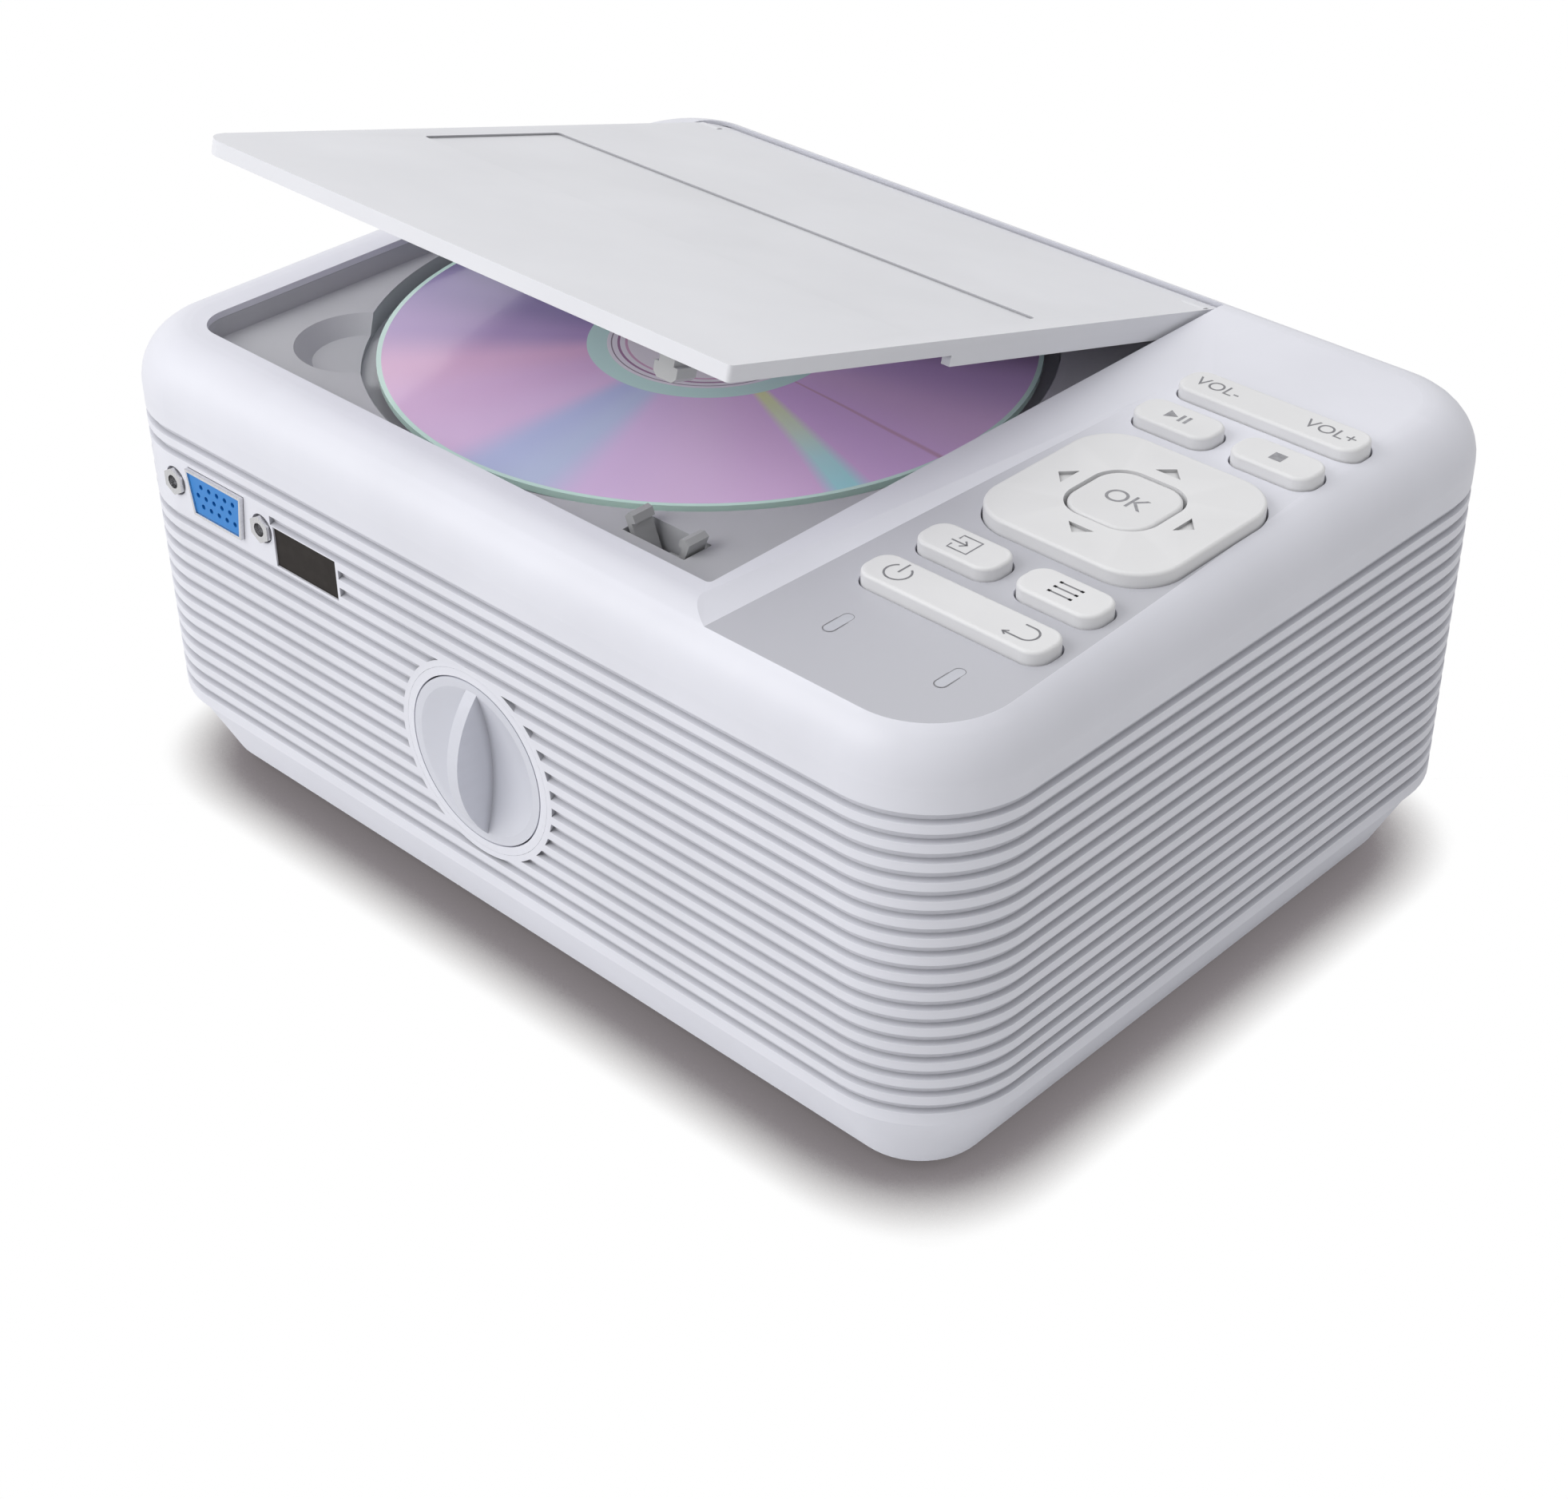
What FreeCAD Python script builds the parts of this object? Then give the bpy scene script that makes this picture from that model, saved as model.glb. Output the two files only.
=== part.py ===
"""Portable projector with a top-loading disc player: one STEP file per piece.

Millimetres, +Z up. -Y is the front with the lens, +X is the side with the button panel.
The origin is on the table, under the middle of the whole object.
"""
import FreeCAD, Part
import math
import os

V = FreeCAD.Vector

# ---- body -------------------------------------------------------------------------------
WIDTH = 202.0            # X
DEPTH = 151.0            # Y
TOP_Z = 92.0
FOOT_HEIGHT = 2.0        # base above the table
PARTING_Z = 18.4         # seam between the two covers
WALL = 2.5
CORNER_R = 20.0
TOP_ROUND = 10.0
BASE_TAPER = 8.0         # the base is this much smaller all round at its bottom
BASE_SOFT = ((0.0, 1.8), (0.5, 0.8), (1.6, 0.0))  # rise above the feet and inset, lower edge
SEAM_STEP = 0.6          # the top cover stands proud of the base at the seam
TONGUE = 1.2             # rim of the base that centres the top cover
TONGUE_HEIGHT = 2.0
FIT = 0.05               # clearance of pieces that seat in each other
SLIP = 0.1               # radial clearance of running fits
GAP = 0.3                # clearance of pieces that move past each other

# ---- ribbing ----------------------------------------------------------------------------
GROOVE_COUNT = 17
GROOVE_PITCH = 3.46
GROOVE_TOP_Z = 77.1
GROOVE_WIDTH = 1.8
GROOVE_BOTTOM_WIDTH = 1.0
GROOVE_DEPTH = 0.9

# ---- lid bay and disc deck --------------------------------------------------------------
DISC_R = 60.0            # full-size optical disc
BAY_LEFT = 14.0 - WIDTH / 2
BAY_RIGHT = BAY_LEFT + 130.0
BAY_FRONT = 12.3 - DEPTH / 2
BAY_BACK = DEPTH / 2 - 7.0
BAY_LEFT_R = 6.3
BAY_RIGHT_R = 0.9
BAY_LIP = 1.3            # edge of the top cover above the deck's rim
DECK_DROP = 4.9          # deck below the top
DECK_WALL = 1.0
DECK_FLOOR = 1.5
WELL_X = BAY_LEFT + 64.5
WELL_Y = BAY_FRONT + 66.1
WELL_R = DISC_R + 3.0
WELL_DROP = 4.1          # well below the deck
SCOOP_R = 12.0
SCOOP_DROP = 3.1
SCOOP_FLAT_R = 9.0
SCOOP_ANGLE = 225.0
DECK_BACK_DROP = 3.9     # the deck's back wall stops under the rounded edge
MOTOR_OPENING_R = 17.0
SLED_SLOT = 22.0

# ---- lid --------------------------------------------------------------------------------
LID_GAP = 0.8            # to the bay's sides
LID_BACK_GAP = 1.6
LID_FRONT_GAP = 0.9
LID_SKIN = 1.6
LID_RIM = 2.7            # depth of the lid's edge
LID_RIM_WALL = 1.8
LID_FLANGE = 4.6         # depth of the side cheeks
LID_FLANGE_LENGTH = 73.0
LID_LEFT_R = 5.5
LID_RIGHT_R = 0.8
LID_OPEN = 15.7          # degrees, in the stored pose
HINGE_BACK = 3.5         # axis in front of the lid's back edge
HINGE_DROP = 3.0         # axis below the lid's top
HINGE_PIN_R = 1.5
HINGE_LUG_R = 3.2
HINGE_LUG_WIDTH = 4.9
HINGE_POCKET = 9.0       # width of the pockets for the lugs
HINGE_POCKET_DROP = 3.1
HINGE_POCKET_LENGTH = 11.4
HINGE_TROUGH_LENGTH = 7.4
HINGE_BOSS = 3.0
PANEL_MARK_DEPTH = 0.4   # sunk rectangle on the lid
PANEL_MARK_LENGTH = 34.3
PANEL_MARK_BACK = 48.4
PANEL_MARK_SIDE = 5.0

# ---- lid latch --------------------------------------------------------------------------
LATCH_X = BAY_RIGHT - 20.5
LATCH_Y = BAY_FRONT + 10.9
LATCH_SLOT_X = 14.0
LATCH_SLOT_Y = 6.2
LATCH_SHAFT_BOTTOM = 71.0
LATCH_WALL = 1.2
LATCH_SPLAY = 22.0       # degrees the jaws stand out when released
STRIKER_REACH = 9.3      # below the lid's top
STRIKER_HEAD_X = 5.0
STRIKER_NECK_X = 3.2
STRIKER_HEAD_Z = 2.5
STRIKER_TAPER = 0.8
STRIKER_PLATE = 1.0
STRIKER_Y = 4.4
JAW_PIVOT_X = 3.4
JAW_PIVOT_DROP = 1.4     # below the top of the plunger's middle block
JAW_BARREL_R = 1.2
JAW_LENGTH = 9.5
JAW_THICK = 1.1
JAW_HOOK = 2.0
JAW_TIP = 0.6
JAW_SLOPES = {"left": 0.6, "right": 0.3}  # drop of the jaw's top towards its back
PLUNGER_DEPTH = 3.0      # below the jaws' pivots
LEAF_THICK = 0.4
LEAF_WIDTH = 4.0
LEAF_FOOT = 1.0          # flat part at each end and at the top
PLUNGER_LIP = 1.0        # ledges beside the jaws' seats

# ---- disc drive -------------------------------------------------------------------------
DISC_THICK = 1.2
DISC_HOLE_R = 7.5
DISC_ABOVE_WELL = 2.2
TURNTABLE_R = 15.0
TURNTABLE_THICK = 1.8
HUB_R = 7.4
HUB_HEIGHT = 2.8
HUB_ROUND = 0.93
SPINDLE_R = 1.0
MOTOR_R = 13.0
MOTOR_HEIGHT = 6.2
MOTOR_ROUND = 1.0
CHASSIS_Z = 75.2
CHASSIS_THICK = 1.2
CHASSIS_LEFT = WELL_X - 21.5
CHASSIS_RIGHT = WELL_X + 70.0
CHASSIS_FRONT = WELL_Y - 36.9
CHASSIS_BACK = WELL_Y + 29.1
ROD_R = 1.5
ROD_Z = 79.0
ROD_SPREAD = 16.0        # rods from the spindle's axis, along Y
ROD_LUG = 3.0
ROD_LUG_HEIGHT = 4.6
SLED_START = 23.0        # lens from the spindle at the disc's inner edge
SLED_TRAVEL = 34.0
SLED_LENGTH = 18.0
SLED_HALF_WIDTH = 18.5
SLED_BOTTOM = 77.2
SLED_TOP = 81.0
LENS_BLOCK_X = 10.0
LENS_BLOCK_Y = 16.0
LENS_BLOCK_TOP = 82.9
PICKUP_LENS_R = 3.0
PICKUP_LENS_SEAT = 1.5
PICKUP_LENS_PROUD = 0.4
PICKUP_LENS_ROUND = 0.5
SCREW_OFFSET = 22.0      # sled screw from the spindle's axis
SLED_SCREW_R = 1.5
SLED_SCREW_Z = 78.6
SCREW_ROOT = 0.8         # of the screw's radius
SLED_MOTOR_R = 3.1
SLED_MOTOR_LENGTH = 14.0
SLED_MOTOR_DROP = 0.4    # motor's axis below the screw's
DAMPER_R = 4.0
DAMPER_NECK_R = 3.0
DAMPER_FLANGE = 1.25
SMALL_SCREW_R = 1.25
SMALL_HEAD_R = 2.6
SMALL_HEAD = 1.4
BOSS_R = 3.0

# ---- front ------------------------------------------------------------------------------
LENS_X = -1.5
LENS_Z = 43.7
BEZEL_R = 17.5
BEZEL_BORE_R = 16.0
BEZEL_DEPTH = 7.5
BEZEL_FLANGE_R = 20.0
BEZEL_FLANGE = 1.5
BEZEL_MARGIN = 1.2       # smooth ring of cover round the bezel
CAP_R = 15.7
CAP_DEPTH = 5.0
CAP_DISH_R = 14.0
CAP_DISH = 2.2
FIN_PROUD = 5.5
FIN_LENGTH = 28.4
FIN_THICK = 2.6
FIN_OFFSET = 0.3         # fin from the cap's centre, along X
FIN_FOOT = 0.9           # length of the fin's foot against its top edge
SEAL_THICK = 1.2
SEAL_GROOVE = 0.8
VGA_X = 33.0 - WIDTH / 2
IR_LEFT = VGA_X + 15.8
IR_RIGHT = VGA_X + 32.7
IR_BOTTOM = 61.3
IR_TOP = 69.0
IR_FRAME = 0.7
IR_THICK = 1.5
IR_RIM = 0.6
PATCH_BOTTOM = 59.9      # smooth area round the socket and the window
PATCH_TOP = 74.2
VGA_Z = 67.5
VGA_WIDTH = 16.0
VGA_NARROW = 2.4
VGA_HEIGHT = 8.8
VGA_PROUD = 0.8
VGA_WALL = 0.5
VGA_INSERT_SET = 0.3     # insert behind the shell's edge
VGA_FLANGE_X = 14.9
VGA_FLANGE_Z = 6.2
VGA_FLANGE = 0.9
VGA_CLEAR_R = 1.8        # holes the jack screws pass
VGA_SCREW_SPACING = 24.99
VGA_HEX_R = 2.7
VGA_HEX_PROUD = 0.7
VGA_THREAD_R = 1.3
VGA_THREAD_DEPTH = 2.6
VGA_PIN_PITCH = 2.29
VGA_PIN_ROW = 1.98
VGA_PIN_R = 0.5
VGA_PIN_DEPTH = 5.0
VGA_COLUMNS = 5
VGA_STAGGER = 0.25       # of the pitch, each row to its own side

# ---- button panel -----------------------------------------------------------------------
PANEL_X = WIDTH / 2 - 25.7
PANEL_Y = -2.7
PANEL_DROP = 1.5         # sunk at the front, running out to nothing at the back
PANEL_FRONT = -70.4
PANEL_END = 33.0
PANEL_EDGE_TOP = 43.8
PANEL_EDGE_FOOT = 49.4
PANEL_TIP_X = 55.0
PANEL_THICK = 3.0
BUTTON_PROUD = 2.2
BUTTON_X = 15.9
BUTTON_Y = 7.9
BUTTON_R = 3.1
BUTTON_COLUMN = 9.9
BUTTON_ROW = 27.2
BAR_X = 36.2
BAR_ROW = 40.0
PAD_SIZE = 36.7
PAD_R = 8.6
OK_SIZE = 16.0
OK_R = 5.2
OK_GAP = 0.6
BUTTON_GAP = 0.35
BUTTON_FLANGE = 1.2
BUTTON_TRAVEL = 0.6
BUTTON_ROUND = 0.6
ROCKER_GAP = 1.0         # under the cover, for a tilting key's rising end
PAD_GAP = 1.2
TRUNNION_R = 0.8
TRUNNION_LENGTH = 2.0
ARROW_OFFSET = 12.3
ARROW_LENGTH = 2.4
ARROW_WIDTH = 5.0
ARROW_DEPTH = 0.6
KEY_BOARD_Z = 79.4
BOARD_THICK = 1.6
SWITCH_TOP = 84.4
SWITCH_SIZE = 6.0
SWITCH_BODY = 2.0
SWITCH_STEM_R = 1.6
KEY_FRAME_Z = 81.6
KEY_FRAME_THICK = 1.2
LIGHT_X = (PANEL_X - 11.8, PANEL_X + 10.1)
LIGHT_Y = -56.5
LIGHT_LENGTH = 6.0
LIGHT_WIDTH = 2.0
LIGHT_CHIP_R = 0.9
LIGHT_COLLAR = 2.0       # collar wider than the light
LIGHT_COLLAR_R = 1.5
PIVOT_RING_R = 8.2
PIVOT_RING_WALL = 1.4
PIVOT_RING_Z = 83.6
PIVOT_RING_HEIGHT = 1.4
PIVOT_PIN_R = 0.5
PIVOT_POST_SET = 0.6     # post's middle beyond the pin's end
PIVOT_POST_HALF = 0.8
POST_HALF = 2.0          # of the posts and lugs that carry the keys' pins
PAD_LUG = 1.0

# ---- projection engine ------------------------------------------------------------------
ENGINE_HALF_X = 30.0
ENGINE_HALF_Z = 23.0
ENGINE_FRONT = -36.0
ENGINE_BACK = 36.0
ENGINE_WALL = 1.5
TUBE_FRONT = -54.0
BARREL_R = 12.5
BARREL_WALL = 1.3
BARREL_FRONT = -65.0
BARREL_BACK = -40.0
TUBE_WALL = 1.6
FOCUS_R = 14.8
FOCUS_FRONT = -67.0
FOCUS_RIBS = 24
FOCUS_RIB = 0.5
GLASS_THICK = 4.0
ELEMENTS = 3
ELEMENT_START = 0.4      # first lens from the barrel's front, in lens spacings
LENS_CURVE = 4.0         # radius of a glass face against the radius of its rim
PLATE_THICK = 2.0
FIELD_Y = (-14.0, 12.0)
LCD_Y = -2.0
LCD_THICK = 3.0
CONDENSER_Y = 22.0
CONDENSER_R = 16.0
LAMP_THICK = 1.6
LAMP_CHIP = 10.0
SINK_BASE = 3.0
SINK_FINS = 11
SINK_FIN = 1.2
FAN_SIZE = 46.0
FAN_DEPTH = 10.0
FAN_R = 21.5
FAN_HUB_R = 9.0
FAN_BLADES = 7
FAN_SHAFT_R = 1.5
FAN_SPOKES = 3
FAN_SPOKE = 2.0
FAN_SPOKE_TURN = 30.0
FAN_BLADE_HALF = 3.6
FAN_BLADE_THICK = 1.0
FAN_PITCH = 40.0
FAN_LIP = 0.5            # rotor behind the frame's front face
LEG_SIZE = 6.0

# ---- boards, ports and fittings ---------------------------------------------------------
BOARD_Z = 20.0
BOARD_LEFT = (13.0 - WIDTH / 2, 68.0 - WIDTH / 2)
BOARD_RIGHT = (WIDTH / 2 - 67.0, WIDTH / 2 - 13.0)
BOARD_HALF = DEPTH / 2 - 9.5
POST_R = 3.0
PORT_BOARD_GAP = 9.0     # port board behind the front wall
PORT_BOARD_EDGE = 2.0
EYE_SIZE = 6.0           # infrared receiver
EYE_DEPTH = 4.0
MAIN_CHIPS = (           # place from the board's middle, size, height
    (-1.5, 0.0, 22.0, 2.0), (-1.5, 28.0, 12.0, 1.6), (-1.5, -28.0, 12.0, 1.6), (14.5, 0.0, 6.0, 4.0))
POWER_BLOCKS = ((-5.0, -34.0, 18.0, 14.0), (-5.0, 2.0, 24.0, 20.0))
POWER_CANS = (           # place from the board's middle, radius, height
    (17.0, -30.0, 5.0, 14.0), (17.0, -14.0, 5.0, 14.0), (17.0, 10.0, 6.5, 18.0))
SPEAKER_X = WIDTH / 2 - 37.0
SPEAKER_Z = 56.0
SPEAKER_R = 17.0
SPEAKER_DEPTH = 12.0
SPEAKER_RIM = 3.0
SPEAKER_MAGNET_R = 10.2
SPEAKER_MAGNET = 5.0
SPEAKER_BOWL_R = 5.1
SLOT_WIDTH = 1.6
SLOT_PITCH = 4.0
SLOT_COUNT = 7
SLOT_LENGTH = 26.0
VENT_COUNT = 11
REAR_PATCH = (17.0 - WIDTH / 2, 73.0 - WIDTH / 2)
REAR_PATCH_TOP = 38.0
HDMI_X = 30.0 - WIDTH / 2
HDMI_SIZE = (15.0, 5.6)
USB_X = HDMI_X + 16.0
USB_SIZE = (13.2, 5.8)
JACK_X = (USB_X + 11.5, USB_X + 18.5)
JACK_R = 3.0
JACK_BODY = 6.6
JACK_BORE_R = 1.75
PORT_DEPTH = 13.0
PORT_WALL = 0.5
PORT_TONGUE_SIDE = 2.0
PORT_TONGUE = 1.0
PORT_FLOOR = 2.0
INLET_X = WIDTH / 2 - 31.0
INLET_WIDTH = 20.0
INLET_HEIGHT = 10.0
INLET_DEPTH = 14.0
INLET_PIN_R = 1.2
INLET_PIN_SPREAD = 4.3
INLET_FLOOR = 3.0
INLET_PIN_SET = 2.0      # pins' tips behind the mouth
FOOT_X = WIDTH / 2 - 33.0
FOOT_Y = DEPTH / 2 - 29.5
FOOT_R = 6.0
FOOT_SEAT = 0.6
CASE_SCREW_INSET = 17.0  # from the sides, in the corners
CASE_BOSS_TOP = 50.0
CASE_SCREW_R = 1.5
CASE_BOSS_R = 3.6
CASE_HEAD_R = 3.0
CASE_HEAD = 2.0

# ---- levels and places that follow ------------------------------------------------------
LX, LY = WIDTH / 2, DEPTH / 2
FRONT_Y = -LY
BACK_Y = LY
ORIGIN_SHIFT = FIN_PROUD / 2             # centres the whole object on the origin along Y
TOP_INSIDE = TOP_Z - WALL
PANEL_INSIDE = TOP_Z - PANEL_DROP - PANEL_THICK
DECK_Z = TOP_Z - DECK_DROP
DECK_UNDER = DECK_Z - DECK_FLOOR
DECK_RIM = TOP_Z - BAY_LIP
WELL_Z = DECK_Z - WELL_DROP
WELL_UNDER = WELL_Z - DECK_FLOOR
DISC_Z = WELL_Z + DISC_ABOVE_WELL
HINGE_Y = BAY_BACK - LID_BACK_GAP - HINGE_BACK
HINGE_Z = TOP_Z - HINGE_DROP
LID_LEFT = BAY_LEFT + LID_GAP
LID_RIGHT = BAY_RIGHT - LID_GAP
LID_FRONT = BAY_FRONT + LID_FRONT_GAP
LID_BACK = BAY_BACK - LID_BACK_GAP
LID_UNDER = TOP_Z - LID_SKIN
CHASSIS_TOP = CHASSIS_Z + CHASSIS_THICK
BASE_FLOOR = FOOT_HEIGHT + WALL
BOARD_TOP = BOARD_Z + BOARD_THICK
FAN_FRONT = BACK_Y - WALL - GAP - FAN_DEPTH
KEY_BOARD_TOP = KEY_BOARD_Z + BOARD_THICK
KEY_FLOOR = SWITCH_TOP + BUTTON_TRAVEL + FIT     # underside of a key at rest
KEY_FRAME_TOP = KEY_FRAME_Z + KEY_FRAME_THICK
PIVOT_Z = PIVOT_RING_Z + PIVOT_RING_HEIGHT / 2
PIVOT_POST_X = 5.0
ROCKER_Z = KEY_FLOOR + 0.9
DECK_SCREWS = [(BAY_LEFT - 5.0, -40.0), (BAY_LEFT - 5.0, 40.0),
               (BAY_RIGHT + 4.6, -40.0), (BAY_RIGHT + 4.6, 46.0)]
DRIVE_SCREWS = [(x, y) for y in (CHASSIS_BACK - 5.0, CHASSIS_FRONT + 6.0)
                for x in (CHASSIS_LEFT + 6.0, CHASSIS_RIGHT - 17.5)]
KEY_BOARD = (BAY_RIGHT + 10.0, LX - 5.0, PANEL_Y - BAR_ROW - 18.3, PANEL_Y + BAR_ROW + 13.7)
KEY_SCREWS = [(x, y) for y in (KEY_BOARD[3] - 4.0, KEY_BOARD[2] + 9.0)
              for x in (KEY_BOARD[0] + 4.0, KEY_BOARD[1] - 4.0)]
BUTTONS = {                              # place from the panel's middle, size, corner radius
    "volume_rocker": (0.0, BAR_ROW, BAR_X, BUTTON_Y, BUTTON_R),
    "play_button": (-BUTTON_COLUMN, BUTTON_ROW, BUTTON_X, BUTTON_Y, BUTTON_R),
    "stop_button": (BUTTON_COLUMN, BUTTON_ROW, BUTTON_X, BUTTON_Y, BUTTON_R),
    "direction_pad": (0.0, 0.0, PAD_SIZE, PAD_SIZE, PAD_R),
    "source_button": (-BUTTON_COLUMN, -BUTTON_ROW, BUTTON_X, BUTTON_Y, BUTTON_R),
    "menu_button": (BUTTON_COLUMN, -BUTTON_ROW, BUTTON_X, BUTTON_Y, BUTTON_R),
    "power_rocker": (0.0, -BAR_ROW, BAR_X, BUTTON_Y, BUTTON_R),
}


# ---- shapes -----------------------------------------------------------------------------
def box(x0, x1, y0, y1, z0, z1):
    return Part.makeBox(x1 - x0, y1 - y0, z1 - z0, V(x0, y0, z0))


def rod_x(r, x0, x1, y, z):
    return Part.makeCylinder(r, x1 - x0, V(x0, y, z), V(1, 0, 0))


def rod_y(r, y0, y1, x, z):
    return Part.makeCylinder(r, y1 - y0, V(x, y0, z), V(0, 1, 0))


def rod_z(r, z0, z1, x, y):
    return Part.makeCylinder(r, z1 - z0, V(x, y, z0))


def ring_y(outer, inner, y0, y1, x, z):
    return rod_y(outer, y0, y1, x, z).cut(rod_y(inner, y0 - 1, y1 + 1, x, z))


def outline(x0, x1, y0, y1, z, radii):
    """Closed rounded rectangle; radii are front-left, front-right, back-right, back-left."""
    corners = [(x0, y0, 1, 1), (x1, y0, -1, 1), (x1, y1, -1, -1), (x0, y1, 1, -1)]
    spots = []
    for index, ((x, y, sx, sy), r) in enumerate(zip(corners, radii)):
        along_y, along_x = V(x, y + sy * r, z), V(x + sx * r, y, z)
        bulge = r * (1 - math.sqrt(0.5))
        middle = V(x + sx * bulge, y + sy * bulge, z)
        ends = (along_y, along_x) if index in (0, 2) else (along_x, along_y)
        spots.append((ends[0], middle, ends[1]))
    edges = []
    for index, (start, middle, end) in enumerate(spots):
        edges.append(Part.Arc(start, middle, end).toShape())
        edges.append(Part.LineSegment(end, spots[(index + 1) % 4][0]).toShape())
    return Part.Wire(edges)


def prism(x0, x1, y0, y1, z0, z1, *radii):
    radii = radii * 4 if len(radii) == 1 else radii
    return Part.Face(outline(x0, x1, y0, y1, z0, radii)).extrude(V(0, 0, z1 - z0))


def pill(x, y, size_x, size_y, z0, z1, r):
    return prism(x - size_x / 2, x + size_x / 2, y - size_y / 2, y + size_y / 2, z0, z1, r)


def shell_outline(inset, z):
    r = CORNER_R - inset
    return outline(inset - LX, LX - inset, inset - LY, LY - inset, z, (r, r, r, r))


def plate_xz(points, y0, y1):
    """A flat shape drawn in X and Z, with its thickness along Y."""
    face = Part.Face(Part.makePolygon([V(x, y0, z) for x, z in points + points[:1]]))
    return face.extrude(V(0, y1 - y0, 0))


def join(first, *others):
    return first.fuse(list(others)).removeSplitter()


def rounded(shape, r, chosen):
    edges = [edge for edge in shape.Edges if chosen(edge)]
    return shape.makeFillet(r, edges)


def turn_x(shape, degrees, y, z):
    turned = shape.copy()
    turned.rotate(V(0, y, z), V(1, 0, 0), degrees)
    return turned


def save(name, *pieces):
    for piece in pieces:
        if not piece.isValid() or piece.Volume <= 0:
            print("bad solid in", name)
    moved = Part.makeCompound([solid for piece in pieces for solid in piece.Solids])
    moved.translate(V(0, ORIGIN_SHIFT, 0))
    moved.exportStep("parts/" + name + ".step")


# ---- casing -----------------------------------------------------------------------------
def bay(grow, z0, z1):
    left, right = BAY_LEFT_R + grow, BAY_RIGHT_R + grow
    return prism(BAY_LEFT - grow, BAY_RIGHT + grow, BAY_FRONT - grow, BAY_BACK + grow,
                 z0, z1, left, right, right, left)


def panel_z(y):
    return TOP_Z - PANEL_DROP * max(0, PANEL_END - y) / (PANEL_END - PANEL_FRONT)


def groove(z):
    half, floor = GROOVE_WIDTH / 2, GROOVE_BOTTOM_WIDTH / 2
    section = [(FRONT_Y - 1, half), (FRONT_Y, half), (FRONT_Y + GROOVE_DEPTH, floor),
               (FRONT_Y + GROOVE_DEPTH, -floor), (FRONT_Y, -half), (FRONT_Y - 1, -half)]
    loop = Part.makePolygon([V(0, y, z + dz) for y, dz in section + section[:1]])
    return shell_outline(0, z).makePipe(Part.Face(loop))


def smooth_areas():
    """Parts of the walls that the ribbing leaves out."""
    near, far = FRONT_Y - 2, FRONT_Y + 2
    rear = (BACK_Y - 2, BACK_Y + 2)
    inlet_half = INLET_WIDTH / 2 + WALL
    return [rod_y(BEZEL_R + BEZEL_MARGIN, near, far, LENS_X, LENS_Z),
            box(CORNER_R / 4 - LX, IR_LEFT - IR_FRAME, near, far, PATCH_BOTTOM + 1, PATCH_TOP - WALL),
            box(IR_LEFT - 1, IR_RIGHT + IR_FRAME, near, far, PATCH_BOTTOM + 1, IR_TOP + FIT),
            box(*REAR_PATCH, *rear, PARTING_Z, REAR_PATCH_TOP),
            box(INLET_X - inlet_half, INLET_X + inlet_half, *rear, PARTING_Z, REAR_PATCH_TOP)]


def panel_cut():
    """Wedge that sinks the button panel and runs out towards the back."""
    front = FRONT_Y - TOP_ROUND / 2
    share = (PANEL_END - front) / (PANEL_END - PANEL_FRONT)
    low = TOP_Z - PANEL_DROP * share
    foot = PANEL_TIP_X - (PANEL_TIP_X - PANEL_EDGE_FOOT) * share
    edge = PANEL_TIP_X - (PANEL_TIP_X - PANEL_EDGE_TOP) * share
    side = LX + WALL
    a, b = V(foot, front, low), V(side, front, low)
    c, d = V(side, PANEL_END, TOP_Z), V(PANEL_TIP_X, PANEL_END, TOP_Z)
    e, f = V(edge, front, TOP_Z), V(side, front, TOP_Z)
    loops = [(a, b, c, d), (a, d, e), (e, f, c, d), (a, b, f, e), (b, c, f)]
    faces = [Part.Face(Part.makePolygon(list(loop) + [loop[0]])) for loop in loops]
    return Part.makeSolid(Part.makeShell(faces))


def button_holes():
    z0, z1 = PANEL_INSIDE - WALL, TOP_Z + WALL
    holes = [pill(PANEL_X + x, PANEL_Y + y, sx + 2 * BUTTON_GAP, sy + 2 * BUTTON_GAP, z0, z1,
                  r + BUTTON_GAP) for x, y, sx, sy, r in BUTTONS.values()]
    for x in LIGHT_X:
        holes.append(pill(x, LIGHT_Y, LIGHT_WIDTH + 2 * FIT, LIGHT_LENGTH + 2 * FIT, z0, z1,
                          LIGHT_WIDTH / 2))
    return holes


def slots(x, z, width, height, count, y0, y1):
    """Upright slots side by side in a wall across Y."""
    pitch = (width - SLOT_WIDTH) / (count - 1)
    left = x - width / 2
    return [box(left + i * pitch, left + i * pitch + SLOT_WIDTH, y0, y1,
                z - height / 2, z + height / 2) for i in range(count)]


def corner_spots():
    x, y = LX - CASE_SCREW_INSET, LY - CASE_SCREW_INSET
    return [(-x, -y), (x, -y), (x, y), (-x, y)]


def front_holes():
    near, far = FRONT_Y - 1, FRONT_Y + WALL + 1
    holes = [rod_y(BEZEL_R + FIT, near, far, LENS_X, LENS_Z),
             box(IR_LEFT - FIT, IR_RIGHT + FIT, near, far, IR_BOTTOM - FIT, IR_TOP + FIT),
             plate_xz(vga_outline(SLIP), near, far)]
    for x in vga_screw_x():
        holes.append(rod_y(VGA_HEX_R + SLIP, near, far, x, VGA_Z))
    return holes


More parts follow.
